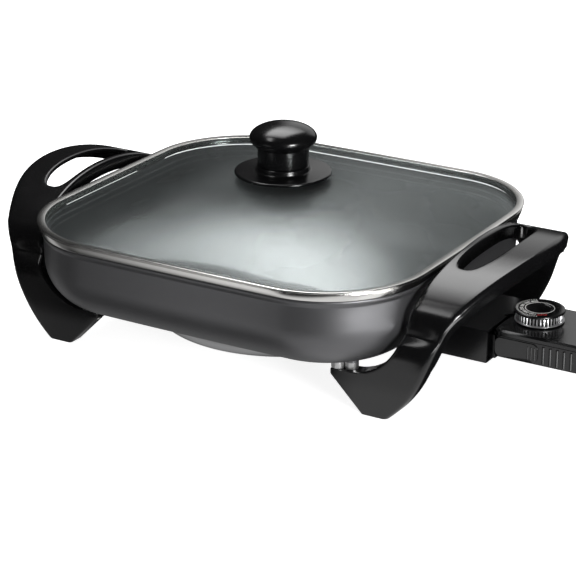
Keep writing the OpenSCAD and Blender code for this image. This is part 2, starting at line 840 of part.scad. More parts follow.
// The thermostat: a bracket on the probe's inner end and the leaf that bends with its heat
frame_x = case_start + case_wall;
frame_length = 34;
module thermostat_frame() {
    color([0.7, 0.66, 0.5])
    translate([frame_x, -7, case_bottom + case_wall])
        union() {
            cube([frame_length, 14, 1.2]);
            cube([1.6, 14, 9]);
            translate([frame_length - 1.6, 0, 0])
                cube([1.6, 14, 7]);
        }
}

module bimetal_leaf() {
    color([0.78, 0.6, 0.35])
    translate([frame_x + 6, -3, case_bottom + case_wall + 7])
        cube([frame_length - 6, 6, 0.8]);
}

module probe_rod() {
    color(bright_steel)
    translate([probe_tip, 0, probe_z])
        along_x() {
            cylinder(h = 2, r1 = probe_r * 0.55, r2 = probe_r, $fn = 40);
            translate([0, 0, 2])
                cylinder(h = frame_x - probe_tip - 2, r = probe_r, $fn = 40);
        }
}

module contact_sleeve(side) {
    color([0.8, 0.65, 0.3])
    translate([nose_start + 1, side * pin_gap / 2, element_z])
        along_x()
            ring(sleeve_r, pin_r + run_gap, case_start - nose_start - 2);
}

module contact_sleeve_front() {
    contact_sleeve(-1);
}

module contact_sleeve_rear() {
    contact_sleeve(1);
}

lens_x = case_start + case_length - 14;
lens_r = 3;
module indicator_lens() {
    color([0.8, 0.1, 0.08])
    translate([lens_x, 0, part_z + 1.2]) {
        cylinder(h = case_top - part_z - 1.2, r = lens_r, $fn = 40);
        translate([0, 0, case_top - part_z - 1.2])
            cylinder(h = 0.8, r1 = lens_r, r2 = lens_r - 0.8, $fn = 40);
    }
}

gland_z = (case_bottom + part_z) / 2;
gland_r = 5;
gland_bore = 3.4;
module cord_gland() {
    color(plastic)
    translate([case_start + case_length - case_wall, 0, gland_z])
        along_x()
            difference() {
                union() {
                    cylinder(h = case_wall, r = gland_r, $fn = 48);
                    translate([0, 0, case_wall])
                        cylinder(h = 3, r1 = gland_r + 1.4, r2 = gland_r + 0.4, $fn = 48);
                }
                translate([0, 0, -cut])
                    cylinder(h = case_wall + 3 + 2 * cut, r = gland_bore, $fn = 48);
            }
}

// ---- Dial ----
dial_z = case_top + 0.6 + run_gap;
rim_height = 1;
skirt_r = dial_r - 1.4;
skirt_ribs = 40;
cap_z = dial_z + rim_height + skirt_height;
dial_cap_height = 2;
hub_disc_r = 8.8;

module dial_skirt() {
    color([0.8, 0.8, 0.82])
    translate([dial_x, 0, 0])
        difference() {
            union() {
                translate([0, 0, dial_z])
                    cylinder(h = rim_height, r = dial_r - 0.4, $fn = 72);
                translate([0, 0, dial_z + rim_height])
                    linear_extrude(skirt_height)
                        polygon([for (i = [0:4 * skirt_ribs - 1])
                            (i % 4 < 2 ? skirt_r : skirt_r - 0.7) * dir(90 * i / skirt_ribs)]);
            }
            translate([0, 0, dial_z - cut])
                cylinder(h = cap_z - dial_z + 2 * cut, r = shaft_r, $fn = 40);
        }
}

module dial_cap() {
    color(plastic)
    translate([dial_x, 0, 0])
        rotate_extrude($fn = 72)
            polygon([
                [0, cap_z], [dial_r - 0.5, cap_z], [dial_r, cap_z + 0.5],
                [dial_r - 0.2, cap_z + dial_cap_height - 0.4],
                [dial_r - 0.8, cap_z + dial_cap_height],
                [hub_disc_r + 0.6, cap_z + dial_cap_height], [hub_disc_r, cap_z + 1.2],
                [0, cap_z + 1.2]]);
}

module dial_shaft() {
    color(bright_steel)
    translate([dial_x, 0, case_bottom + case_wall + 9])
        cylinder(h = cap_z - case_bottom - case_wall - 9, r = shaft_r, $fn = 40);
}

pan();
heating_element();
terminal_bushes();
terminal_pin_front();
terminal_pin_rear();
reflector_plate();
reflector_washer();
reflector_screw();
terminal_guard();
guard_screws();
handle_left();
handle_right();
handle_screws();
lid_glass();
lid_rim();
knob_seal();
knob_base();
knob_cap();
knob_washer();
knob_screw();
control_case_bottom();
control_case_top();
case_screws();
thermostat_frame();
bimetal_leaf();
probe_rod();
contact_sleeve_front();
contact_sleeve_rear();
indicator_lens();
cord_gland();
dial_cap();
dial_skirt();
dial_shaft();
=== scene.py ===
"""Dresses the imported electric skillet: smooth pan, handles, lid, knob and control over the
fixed frame, a procedural finish on every piece, and a pale studio stage."""
import math
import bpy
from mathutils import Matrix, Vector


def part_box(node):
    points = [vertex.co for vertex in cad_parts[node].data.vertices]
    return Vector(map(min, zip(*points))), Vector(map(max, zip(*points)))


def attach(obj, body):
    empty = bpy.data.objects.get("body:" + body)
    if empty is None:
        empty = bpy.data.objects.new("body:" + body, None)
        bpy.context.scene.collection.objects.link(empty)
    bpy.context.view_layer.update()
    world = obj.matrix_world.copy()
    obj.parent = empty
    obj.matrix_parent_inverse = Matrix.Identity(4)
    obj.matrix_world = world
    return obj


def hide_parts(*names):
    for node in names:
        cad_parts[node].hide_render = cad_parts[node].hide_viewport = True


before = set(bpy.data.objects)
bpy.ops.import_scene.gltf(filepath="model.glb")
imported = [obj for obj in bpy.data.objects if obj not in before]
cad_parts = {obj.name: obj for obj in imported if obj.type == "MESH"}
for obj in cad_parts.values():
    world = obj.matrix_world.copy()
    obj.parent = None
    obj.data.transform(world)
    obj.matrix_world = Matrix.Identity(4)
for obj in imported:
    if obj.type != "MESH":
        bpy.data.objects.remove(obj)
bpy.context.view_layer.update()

from types import SimpleNamespace

import bmesh
import bpy
import numpy as np
from bpy.props import (BoolProperty, FloatProperty, FloatVectorProperty, IntProperty,
                       PointerProperty)
from bpy.types import Operator, Panel, PropertyGroup
from mathutils import Matrix, Vector

bl_info = {
    "name": "Electric Skillet",
    "version": (1, 0, 0),
    "blender": (4, 5, 0),
    "location": "3D View > Sidebar > Skillet",
    "description": "Smooth surfaces and finishes for an electric skillet with a glass lid",
    "category": "Add Mesh",
}


# ---- Sizes and colours --------------------------------------------------------------------

def length(label, default, about):
    """A length property in metres, given in millimetres."""
    return FloatProperty(name=label, description=about, default=default / 1000, min=0,
                         unit="LENGTH", subtype="DISTANCE", precision=4)


def colour(label, default, about):
    """A colour property, as the shaders take it."""
    return FloatVectorProperty(name=label, description=about, default=default, size=3,
                               min=0, max=1, subtype="COLOR")


class SkilletPanSizes(PropertyGroup):
    long: length("Length", 291.4, "Length of the pan between the handles")
    wide: length("Width", 276.6, "Width of the pan from front to back")
    corner: length("Corner radius", 67, "Corner radius of the pan in plan")
    bow: length("Side bow", 2, "How far each side of the pan bulges in plan")
    top: length("Rim height", 89, "Height of the pan's rim above the table")
    bottom: length("Underside height", 34, "Height of the pan's underside above the table")
    round: length("Lower radius", 34, "Radius between the pan's wall and its underside")
    wall: length("Wall", 5, "Thickness of the pan's wall")
    floor: length("Floor", 4.5, "Thickness of the pan's floor")
    ledge: length("Ledge depth", 3.6, "Depth of the ledge inside the rim")


class SkilletLidSizes(PropertyGroup):
    overhang: length("Overhang", 4.3, "How far the lid's band stands out over the pan's wall")
    band: length("Band height", 6.7, "Height of the lid's steel band")
    glass: length("Glass thickness", 3.6, "Thickness of the glass")
    dome: length("Dome height", 25, "Height of the glass dome above its flat edge")
    hole: length("Hole radius", 5, "Radius of the screw hole in the glass")
    gap: length("Lid gap", 0.3, "Gap between the lid and the pan that it rests on")
    disc: length("Heat disc radius", 34.7, "Radius of the knob's wide heat disc")
    disc_edge: length("Heat disc edge", 2.2, "Thickness of the heat disc at its edge")
    neck: length("Neck radius", 18.3, "Radius of the knob's neck")
    collar: length("Collar height", 6.5, "Height of the collar below the neck")
    neck_tall: length("Neck height", 13, "Height of the neck below the cap")
    cap: length("Cap radius", 24, "Radius of the knob's cap")
    cap_tall: length("Cap height", 17.5, "Height of the knob's cap")


class SkilletHandleSizes(PropertyGroup):
    stand: length("Grip stand-off", 9.8, "Distance from the pan's wall to a grip's inner edge")
    wide: length("Grip width", 52, "Width of a grip at its middle")
    crest: length("Crest height", 103.2, "Height of the grip's crest above the table")
    fall: length("Crest fall", 6.6, "How far the grip has fallen 50 mm from its middle")
    deep: length("Grip depth", 10, "Depth of the grip's edges below its skin")
    skin: length("Grip skin", 3, "Thickness of the skin over the hollow underside")
    face: length("Leg face", 99, "Distance from the middle to the flat face of a leg")
    leg: length("Leg thickness", 13, "Thickness of a leg from front to back")
    step: length("Leg step", 8, "How far the upper leg stands back from its flat face")
    foot_set: length("Foot set-in", 6.7, "How far a foot's outer corner is set in")
    foot: length("Foot width", 20, "Width of a foot along the pan")
    gap: length("Leg gap", 6, "Gap between a leg and the pan that it hugs")
    slot_long: length("Slot length", 98, "Length of the finger slot")
    slot_wide: length("Slot width", 22.3, "Width of the finger slot")


class SkilletControlSizes(PropertyGroup):
    dial: length("Dial radius", 17.4, "Radius of the dial")
    skirt: length("Skirt height", 5.2, "Height of the dial's ribbed skirt")
    ribs: IntProperty(name="Skirt ribs", description="Ribs round the dial's skirt",
                      default=40, min=12, max=80)
    edge: length("Case edge", 0.7, "Rounding of the case's and the socket's edges")


class SkilletColours(PropertyGroup):
    plastic: colour("Moulded plastic", (0.003, 0.003, 0.0033), "Glossy black plastic")
    coating: colour("Non-stick coating", (0.05, 0.05, 0.052), "Satin coating of the pan")
    steel: colour("Polished steel", (0.78, 0.77, 0.75), "The lid's band")
    dish: colour("Reflector dish", (0.72, 0.72, 0.73), "Aluminium dish under the pan")
    silver: colour("Silver plastic", (0.5, 0.5, 0.51), "The dial's skirt")
    print_white: colour("Scale print", (0.88, 0.88, 0.86), "Numbers on the dial")
    print_red: colour("Mark print", (0.55, 0.02, 0.02), "The dial's off mark")


class SkilletStudio(PropertyGroup):
    lens: FloatProperty(name="Lens", description="Focal length on a 36 mm sensor",
                        default=134.808, min=10, unit="CAMERA")
    key: FloatProperty(name="Softbox", description="Power of the softbox for each square metre",
                       default=6, min=0, unit="POWER")
    strip: FloatProperty(name="Strip", description="Power of the strip lamp in front",
                         default=12, min=0, unit="POWER")
    show_floor: BoolProperty(name="Floor", description="Shows the pale floor", default=True)
    floor: colour("Floor", (0.75, 0.75, 0.75), "The floor under its own white glow")


class SkilletSettings(PropertyGroup):
    pan: PointerProperty(type=SkilletPanSizes)
    lid: PointerProperty(type=SkilletLidSizes)
    handle: PointerProperty(type=SkilletHandleSizes)
    control: PointerProperty(type=SkilletControlSizes)
    colours: PointerProperty(type=SkilletColours)
    studio: PointerProperty(type=SkilletStudio)


def in_mm(group):
    """The group's lengths in millimetres and its other values as they are."""
    values = {}
    for name in group.bl_rna.properties.keys():
        value = getattr(group, name)
        if isinstance(value, float) and group.bl_rna.properties[name].unit == "LENGTH":
            value *= 1000
        values[name] = value
    return SimpleNamespace(**values)


def sizes():
    """All sizes in millimetres, with the places that several pieces share."""
    kit = bpy.context.scene.skillet
    pan, lid = in_mm(kit.pan), in_mm(kit.lid)
    handle, control = in_mm(kit.handle), in_mm(kit.control)
    pan.a, pan.b = pan.long / 2, pan.wide / 2
    pan.wall_z = pan.bottom + pan.round
    lid.lap, lid.bore = 5.6, 2.4
    lid.band_z = pan.top + lid.gap
    lid.top = lid.band_z + lid.band
    lid.glass_z = lid.top - 1
    lid.crown_z = lid.glass_z + lid.dome
    lid.disc_z = lid.crown_z + 1
    lid.collar_z = lid.disc_z + lid.collar
    lid.neck_top = lid.collar_z + lid.neck_tall
    lid.cap_mid = lid.neck_top + 0.4 * lid.cap_tall
    control.skirt_r = control.dial - 1.4
    handle.inner = pan.a + handle.stand
    handle.outer = handle.inner + handle.wide
    return SimpleNamespace(pan=pan, lid=lid, handle=handle, control=control,
                           colours=kit.colours, studio=kit.studio)


# ---- Surfaces -----------------------------------------------------------------------------

class Shell:
    """Gathers grids of points in millimetres and the faces between them, and makes them one
    mesh in metres."""

    def __init__(self):
        self.points = []
        self.faces = []
        self.count = 0

    def add(self, grid):
        """Adds an array of points and gives back their numbers in the same layout."""
        grid = np.asarray(grid, float)
        numbers = np.arange(grid[..., 0].size).reshape(grid.shape[:-1]) + self.count
        self.points.append(grid.reshape(-1, 3))
        self.count += numbers.size
        return numbers

    def bridge(self, numbers, rows=False, columns=True, keep=None):
        """Quads between neighbouring rows and columns; rows or columns closes that way round,
        and keep, where given, says which quads stay."""
        if rows:
            numbers = np.concatenate([numbers, numbers[:1]], 0)
        if columns:
            numbers = np.concatenate([numbers, numbers[:, :1]], 1)
        quads = np.stack([numbers[:-1, :-1], numbers[:-1, 1:],
                          numbers[1:, 1:], numbers[1:, :-1]], -1)
        self.faces += (quads.reshape(-1, 4) if keep is None else quads[keep]).tolist()

    def cap(self, loop):
        """One face over a closed loop of point numbers."""
        self.faces.append(np.asarray(loop).tolist())

    def mesh(self, name, crease=32):
        """The joined mesh: doubled points merged, faces turned outwards, shaded smooth and
        left sharp where two faces meet at more than crease degrees."""
        mesh = bpy.data.meshes.new(name)
        mesh.from_pydata((np.concatenate(self.points) / 1000).tolist(), [], self.faces)
        work = bmesh.new()
        work.from_mesh(mesh)
        bmesh.ops.remove_doubles(work, verts=work.verts, dist=2e-6)
        bmesh.ops.recalc_face_normals(work, faces=work.faces)
        work.to_mesh(mesh)
        work.free()
        mesh.shade_smooth()
        mesh.set_sharp_from_angle(angle=math.radians(crease))
        return mesh


def eased(points, radius, steps=4, closed=False):
    """A polyline with rounded corners. Each corner is cut back by radius, at most 45% of its
    shorter side, and replaced by the quadratic curve (1-u)^2 A + 2u(1-u) P + u^2 B."""
    p = np.asarray(points, float)
    to_last, to_next = np.roll(p, 1, 0) - p, np.roll(p, -1, 0) - p
    lengths = np.stack([np.linalg.norm(to_last, axis=1), np.linalg.norm(to_next, axis=1)])
    cut = np.minimum(np.broadcast_to(radius, len(p)), 0.45 * lengths.min(0))
    a = p + to_last * (cut / lengths[0])[:, None]
    b = p + to_next * (cut / lengths[1])[:, None]
    u = np.linspace(0, 1, steps + 1)[None, :, None]
    arcs = (1 - u) ** 2 * a[:, None] + 2 * u * (1 - u) * p[:, None] + u ** 2 * b[:, None]
    if closed:
        return arcs.reshape(-1, p.shape[1])
    return np.concatenate([p[:1], arcs[1:-1].reshape(-1, p.shape[1]), p[-1:]])


def one_skin(grid, name, crease=40, rows=True, columns=True):
    """The mesh of one grid of points; rows or columns closes it that way round."""
    shell = Shell()
    shell.bridge(shell.add(grid), rows, columns)
    return shell.mesh(name, crease)


def arc(centre, radius, start, end, steps):
    """Points [centre + radius (cos t, sin t)] for t from start to end degrees."""
    t = np.radians(np.linspace(start, end, steps + 1))
    return np.stack([centre[0] + radius * np.cos(t), centre[1] + radius * np.sin(t)], 1)


def lathe(profile, count, x=0.0, y=0.0, start=0.0):
    """Turns a profile of [radius, height] pairs about the upright through x, y."""
    profile = np.asarray(profile, float)
    t = np.radians(start + 360 * np.arange(count) / count)
    radius, height = profile[:, :1], profile[:, 1:]
    return np.stack([x + radius * np.cos(t), y + radius * np.sin(t),
                     np.broadcast_to(height, (len(profile), count))], -1)


def along_x(profile, z, count=48):
    """Turns a profile of [radius, x] pairs about the line along X at y = 0 and height z."""
    turned = lathe(profile, count)
    return np.stack([turned[..., 2], turned[..., 0], z + turned[..., 1]], -1)


def rounded_rect(a, b, r, corner=24, side=10):
    """Rounded rectangles of half sizes a and b and corner radius r (arrays of equal length),
    anticlockwise: each quarter's arc, then points along the straight side that follows."""
    a, b, r = (np.atleast_1d(np.asarray(v, float))[:, None, None] for v in (a, b, r))
    quarter = np.arange(4)[None, :, None]
    t = np.radians(90 * quarter + 90 * np.linspace(0, 1, corner + 1)[None, None, :])
    right = np.where((quarter == 0) | (quarter == 3), 1, -1)
    rear = np.where(quarter < 2, 1, -1)
    arcs = np.stack([right * (a - r) + r * np.cos(t), rear * (b - r) + r * np.sin(t)], -1)
    share = (np.arange(1, side) / side)[None, None, :, None]
    sides = arcs[:, :, -1:] * (1 - share) + np.roll(arcs[:, :, :1], -1, axis=1) * share
    return np.concatenate([arcs, sides], 2).reshape(len(arcs), -1, 2)


def pan_rings(pan, profile, out=0.0):
    """The pan's outline drawn in by each profile row's inset, at its height: a rounded
    rectangle whose sides bulge by the parabola bow (1 - (y/b)^2), and let out by out."""
    inset, height = np.asarray(profile, float).T
    inset = inset - out
    a, b = pan.a - pan.bow - inset, pan.b - pan.bow - inset
    plan = rounded_rect(a, b, pan.corner - inset)
    x, y = plan[..., 0], plan[..., 1]
    a, b = a[:, None], b[:, None]
    return np.stack([x + pan.bow * x / a * (1 - (y / b) ** 2),
                     y + pan.bow * y / b * (1 - (x / a) ** 2),
                     np.broadcast_to(height[:, None], x.shape)], -1)


# ---- Finishes -----------------------------------------------------------------------------

class Value:
    """A shader socket. Python operators on it add Math nodes."""

    def __init__(self, finish, socket):
        self.finish = finish
        self.socket = socket

    def join(self, operation, *terms):
        return self.finish.node("ShaderNodeMath", {"operation": operation}, terms)

    def __add__(self, other):
        return self.join("ADD", self, other)

    def __sub__(self, other):
        return self.join("SUBTRACT", self, other)

    def __rsub__(self, other):
        return self.join("SUBTRACT", other, self)

    def __mul__(self, other):
        return self.join("MULTIPLY", self, other)

    def __truediv__(self, other):
        return self.join("DIVIDE", self, other)

    def __pow__(self, other):
        return self.join("POWER", self, other)

    __radd__, __rmul__ = __add__, __mul__

    def past(self, low, high):
        """0 below low, 1 above high and a smooth ramp between them."""
        return self.finish.node("ShaderNodeMapRange", {"interpolation_type": "SMOOTHSTEP"},
                                {"Value": self, "From Min": low, "From Max": high})


def distance(x, y):
    """The distance from the origin to x, y."""
    return (x * x + y * y) ** 0.5


def grey(level):
    """A grey as a shader takes it; above 1 it glows more than white."""
    return (level, level, level, 1.0)


def tint(rgb, share):
    """A colour as a shader takes it, this many times as strong."""
    return (*(share * c for c in rgb), 1.0)


class Finish:
    """A node tree under construction, for a material or for the world."""

    def __init__(self, owner):
        owner.use_nodes = True
        self.owner = owner
        self.tree = owner.node_tree
        self.tree.nodes.clear()

    def node(self, kind, settings=None, inputs=None, output=0):
        """Adds a node of this kind: its settings first, then the values or links of its
        sockets, by name or in order, and gives back one output."""
        node = self.tree.nodes.new(kind)
        for key, value in (settings or {}).items():
            setattr(node, key, value)
        pairs = inputs.items() if isinstance(inputs, dict) else enumerate(inputs or ())
        for key, value in pairs:
            if isinstance(value, Value):
                self.tree.links.new(value.socket, node.inputs[key])
            else:
                node.inputs[key].default_value = value
        return Value(self, node.outputs[output])

    def place(self, scale=(1, 1, 1), move=(0, 0, 0)):
        """Object coordinates in metres, stretched and moved."""
        spot = self.node("ShaderNodeTexCoord", output="Object")
        return self.node("ShaderNodeMapping", {}, {"Vector": spot, "Scale": scale,
                                                   "Location": move})

    def parts(self, vector):
        """The three parts of a vector."""
        x = self.node("ShaderNodeSeparateXYZ", {}, {"Vector": vector})
        return x, *(Value(self, socket) for socket in x.socket.node.outputs[1:])

    def noise(self, scale, detail=3.0, stretch=(1, 1, 1)):
        return self.node("ShaderNodeTexNoise", {}, {
            "Vector": self.place(stretch), "Scale": scale, "Detail": detail})

    def ray(self, kind):
        """1 for the rays of this kind and 0 for the others."""
        return self.node("ShaderNodeLightPath", output=f"Is {kind} Ray")

    def mix(self, share, low, high):
        """The colour low turning into high as share goes from 0 to 1."""
        return self.node("ShaderNodeMix", {"data_type": "RGBA"}, {0: share, 6: low, 7: high}, 2)

    def shades(self, share, rgb, low, high):
        """The colour from low to high times its strength as share goes from 0 to 1."""
        return self.mix(share, tint(rgb, low), tint(rgb, high))

    def bump(self, height, strength, depth):
        """A normal that follows height; depth in metres."""
        return self.node("ShaderNodeBump", {}, {"Height": height, "Strength": strength,
                                                "Distance": depth})

    def principled(self, **sockets):
        """A Principled surface; a name's underscores stand for spaces."""
        return self.node("ShaderNodeBsdfPrincipled", {},
                         {key.replace("_", " "): value for key, value in sockets.items()})

    def out(self, surface):
        kind = "World" if isinstance(self.owner, bpy.types.World) else "Material"
        end = self.tree.nodes.new(f"ShaderNodeOutput{kind}")
        self.tree.links.new(surface.socket, end.inputs["Surface"])
        return self.owner


def new_finish(name):
    return Finish(bpy.data.materials.new(name))


def gloss_plastic(rgb):
    """Glossy moulded plastic: faint orange peel, a little haze in patches."""
    f = new_finish("gloss_black_plastic")
    patches = f.noise(38, 4)
    peel = f.noise(900, 2)
    return f.out(f.principled(
        Base_Color=f.shades(patches, rgb, 0.8, 1.3), Roughness=patches * 0.06 + 0.17,
        Normal=f.bump(peel, 0.04, 0.0004), IOR=1.52))


def matt_plastic(rgb):
    """Spark-textured plastic of inner and under faces."""
    f = new_finish("textured_black_plastic")
    grain = f.noise(2600)
    return f.out(f.principled(
        Base_Color=f.shades(grain, rgb, 0.8, 1.4), Roughness=grain * 0.15 + 0.42,
        Normal=f.bump(grain, 0.25, 0.0002)))


def nonstick_coating(rgb, bottom):
    """Sprayed non-stick coating: satin with a metallic sheen outside, duller and slightly
    pebbled inside, where the normal faces the middle or upwards; bare cast metal on the
    posts and ribs below the pan's underside at the height bottom."""
    f = new_finish("nonstick_coating")
    pebble = f.noise(1500)
    cloud = f.noise(24)
    x, y, z = f.parts(f.place())
    across, back, up = f.parts(f.node("ShaderNodeNewGeometry", output="Normal"))
    outside = (x * across + y * back - up * 0.1).past(-0.01, 0.01)
    coated = z.past(bottom - 0.0012, bottom - 0.0004)
    film = f.mix(outside, tint(rgb, 0.6), tint(rgb, 2.6))
    film = f.mix(cloud, f.mix(0.12, film, grey(0)), film)
    return f.out(f.principled(
        Base_Color=f.mix(coated, grey(0.5), film),
        Metallic=0.9 - coated * (0.9 - outside * 0.8),
        Roughness=cloud * 0.06 + pebble * 0.06 + coated * (0.26 - outside * 0.14) + 0.24,
        Normal=f.bump(pebble, 0.06, 0.0003)))


def rolled_steel(rgb):
    """Polished steel strip with hairlines running round it."""
    f = new_finish("polished_steel_band")
    lines = f.noise(1, 4, (30, 30, 9000))
    smudge = f.noise(30)
    return f.out(f.principled(
        Base_Color=f.shades(lines, rgb, 0.9, 1.05), Metallic=1.0,
        Roughness=lines * 0.08 + smudge * 0.06 + 0.1, Normal=f.bump(lines, 0.05, 0.0002)))


def spun_metal(rgb):
    """Spun sheet: rings that follow the distance from the upright axis."""
    f = new_finish("spun_aluminium")
    x, y, z = f.parts(f.place())
    rings = f.node("ShaderNodeTexNoise", {"noise_dimensions": "1D"},
                   {"W": distance(x, y) + z * 0.7, "Scale": 2600, "Detail": 3})
    cloud = f.noise(20)
    return f.out(f.principled(
        Base_Color=f.shades(rings, rgb, 0.88, 1.04), Metallic=1.0,
        Roughness=rings * 0.12 + cloud * 0.08 + 0.28, Normal=f.bump(rings, 0.12, 0.0003)))


def plated_metal(name, rgb, rough, fine=700):
    """Plated or drawn metal with fine cloudy variation."""
    f = new_finish(name)
    cloud = f.noise(fine)
    return f.out(f.principled(
        Base_Color=f.shades(cloud, rgb, 0.82, 1.06), Metallic=1.0,
        Roughness=cloud * 0.15 + rough, Normal=f.bump(cloud, 0.06, 0.0002)))


def clear_glass():
    """Clear tempered glass: light passes straight through, less of it at the grazed edges,
    under a thin reflection with a breath of haze."""
    f = new_finish("clear_glass")
    haze = f.noise(16)
    clear = f.node("ShaderNodeBsdfTransparent", {}, {"Color": (0.9, 0.92, 0.92, 1)})
    shine = f.node("ShaderNodeBsdfAnisotropic", {}, {
        "Color": (0.9, 0.93, 0.93, 1), "Roughness": haze * 0.12 + 0.22})
    facing = f.node("ShaderNodeFresnel", {}, {"IOR": 1.3})
    return f.out(f.node("ShaderNodeMixShader", {}, {0: facing * 0.22, 1: clear, 2: shine}))


def dull(name, rgb, rough, scale=900, strength=0.15):
    """A plain dull finish with fine mottling, for ceramic, rubber and print."""
    f = new_finish(name)
    mottle = f.noise(scale)
    return f.out(f.principled(
        Base_Color=f.shades(mottle, rgb, 0.85, 1.08), Roughness=mottle * 0.15 + rough,
        Normal=f.bump(mottle, strength, 0.0002)))


def pale_floor(rgb):
    """White to the camera with a light shadow. Reflections see a painted floor instead. It is
    dark except for painted reflections that glow where there is no lamp: a stretch in front of
    the pan that brightens to the right, a strip near the feet that is dim at the left and white
    at the right, and two patches far brighter than white that paint highlights on the pan's right
    corner and on the socket. Left and right go by aside, which runs across the camera's view."""
    f = new_finish("pale_floor")
    x, y, _ = f.parts(f.place())
    glossy, camera = f.ray("Glossy"), f.ray("Camera")
    aside = x - (y + 0.09) * 0.6
    left, right = 1 - aside.past(-0.16, -0.12), aside.past(0.09, 0.13)
    front = (1 - left) * (1 - right) * (1 - y.past(-0.21, -0.17))
    near = (aside.past(-0.35, -0.3) * (1 - aside.past(0.25, 0.3)) * y.past(-0.24, -0.2)
            * (1 - y.past(-0.1, -0.06)))
    # Painted reflections, seen only by glossy rays: a glow ahead of the pan that rises towards
    # the right, and a glow near the feet.
    painted_reflection = (front * (0.12 + aside.past(-0.13, 0.08) * 0.9)
              + near * (left * 0.12 + right + y.past(-0.15, -0.13) * 0.4))
    glow = f.mix(painted_reflection * 0.8, grey(0.01), grey(1))
    # Two glossy-only patches far brighter than white: a painted highlight on the pan's right
    # corner and another on the socket.
    corner_highlight_patch = (0.4, -0.265), 0.05, 0.13, 14
    socket_highlight_patch = (0.31, -0.1), 0.03, 0.07, 6
    for (middle_x, middle_y), within, fade, level in (corner_highlight_patch, socket_highlight_patch):
        patch = 1 - distance(x - middle_x, y - middle_y).past(within, fade)
        glow = f.mix(patch, glow, grey(level))
    grain = f.noise(6, 2)
    # Glossy rays see the painted reflections over a black floor. Camera rays see an even white
    # glow over the lit floor. Other rays see only the lit floor.
    glow = f.mix(glossy, f.mix(camera, grey(0), grey(0.85)), glow)
    return f.out(f.principled(
        Base_Color=f.mix(glossy, f.shades(grain, rgb, 0.97, 1.03), grey(0)),
        Roughness=grain * 0.05 + 0.9, Specular_IOR_Level=0.0, Emission_Color=glow,
        Emission_Strength=1.0))


def studio_world(world):
    """White to the camera, plain grey to matt faces; in reflections a dark room with a soft
    panel at the rear, centred on a bearing of 98 degrees."""
    f = Finish(world)
    x, y, up = f.parts(f.node("ShaderNodeTexCoord", output="Generated"))
    bearing, near, far = np.radians([98, 16, 26])
    along = (x * math.cos(bearing) + y * math.sin(bearing)) / (distance(x, y) + 1e-6)
    rear = along.past(math.cos(far), math.cos(near)) * (1 - up.past(0.45, 0.7)) * up.past(0, 0.2)
    room = f.mix(rear, grey(0.02), grey(0.8))
    soft = f.mix(f.ray("Glossy"), grey(0.42), room)
    return f.out(f.node("ShaderNodeBackground", {}, {
        "Color": f.mix(f.ray("Camera"), soft, grey(1)), "Strength": 1}))


def silver_plastic(rgb, rim):
    """Metal-effect plastic of the dial's skirt, with painted shade: black in the grooves between
    the ribs, where the distance from the dial's axis is less than rim."""
    low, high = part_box("dial_skirt")
    f = new_finish("silver_plastic")
    flake = f.noise(3000, 2)
    x, y, _ = f.parts(f.place(move=(-(low[0] + high[0]) / 2, 0, 0)))
    # Painted shade: the grooves between the ribs turn black, and the ribs stay silver.
    rib = distance(x, y).past(rim - 0.0005, rim - 0.0001)
    return f.out(f.principled(
        Base_Color=f.mix(rib, grey(0.01), f.shades(flake, rgb, 0.9, 1.1)), Metallic=0.85,
        Roughness=flake * 0.1 + 0.26, Normal=f.bump(flake, 0.05, 0.0001)))


def lens_plastic():
    """Clear red plastic of the pilot lamp."""
    f = new_finish("lens_plastic")
    ripple = f.noise(1200, 2)
    return f.out(f.principled(
        Base_Color=f.mix(ripple, (0.42, 0.02, 0.015, 1), (0.6, 0.04, 0.025, 1)),
        Roughness=ripple * 0.05 + 0.1, Transmission_Weight=0.35, IOR=1.49))


finishes = {}


def make_finishes():
    """The finish of each material slot of the record, and of the dial's print."""
    s = sizes()
    c = s.colours
    finishes.update({
        "black_plastic": gloss_plastic(c.plastic),
        "matt_plastic": matt_plastic((0.018, 0.018, 0.019)),
        "nonstick": nonstick_coating(c.coating, s.pan.bottom / 1000),
        "steel_band": rolled_steel(c.steel),
        "lid_glass": clear_glass(),
        "sheet": spun_metal(c.dish),
        "element": plated_metal("element_sheath", (0.16, 0.15, 0.14), 0.45),
        "ceramic": dull("ceramic_bush", (0.8, 0.77, 0.7), 0.35),
        "brass": plated_metal("brass_contact", (0.75, 0.56, 0.24), 0.25),
        "screw_steel": plated_metal("zinc_plated_screw", (0.62, 0.62, 0.6), 0.28),
        "seal": dull("silicone_seal", (0.025, 0.025, 0.026), 0.5, 1400),
        "bimetal": plated_metal("bimetal_strip", (0.66, 0.5, 0.3), 0.32),
        "lens": lens_plastic(),
        "silver_plastic": silver_plastic(c.silver, s.control.skirt_r / 1000),
        "chrome": plated_metal("nickel_plated_pin", (0.75, 0.73, 0.7), 0.14, 300),
        "scale_print": dull("scale_print", c.print_white, 0.4, 1800, 0.02),
        "mark_print": dull("mark_print", c.print_red, 0.4, 1800, 0.02),
    })


# ---- Making pieces ------------------------------------------------------------------------

def piece(name, mesh, body, finish, node=None):
    """One finished piece, riding on its body and standing for a CAD node if it has one."""
    thing = bpy.data.objects.new(name, mesh)
    bpy.context.scene.collection.objects.link(thing)
    thing.data.materials.append(finishes[finish])
    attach(thing, body)
    if node:
        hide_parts(node)
    return thing


def merged_copy(node, name):
    """A copy of a CAD node's mesh with its loose triangles merged and flat areas joined."""
    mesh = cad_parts[node].data.copy()
    mesh.name = name
    mesh.materials.clear()
    work = bmesh.new()
    work.from_mesh(mesh)
    bmesh.ops.remove_doubles(work, verts=work.verts, dist=1e-5)
    bmesh.ops.dissolve_limit(work, angle_limit=math.radians(1.5), verts=work.verts,
                             edges=work.edges)
    bmesh.ops.recalc_face_normals(work, faces=work.faces)
    work.to_mesh(mesh)
    work.free()
    mesh.shade_smooth()
    return mesh


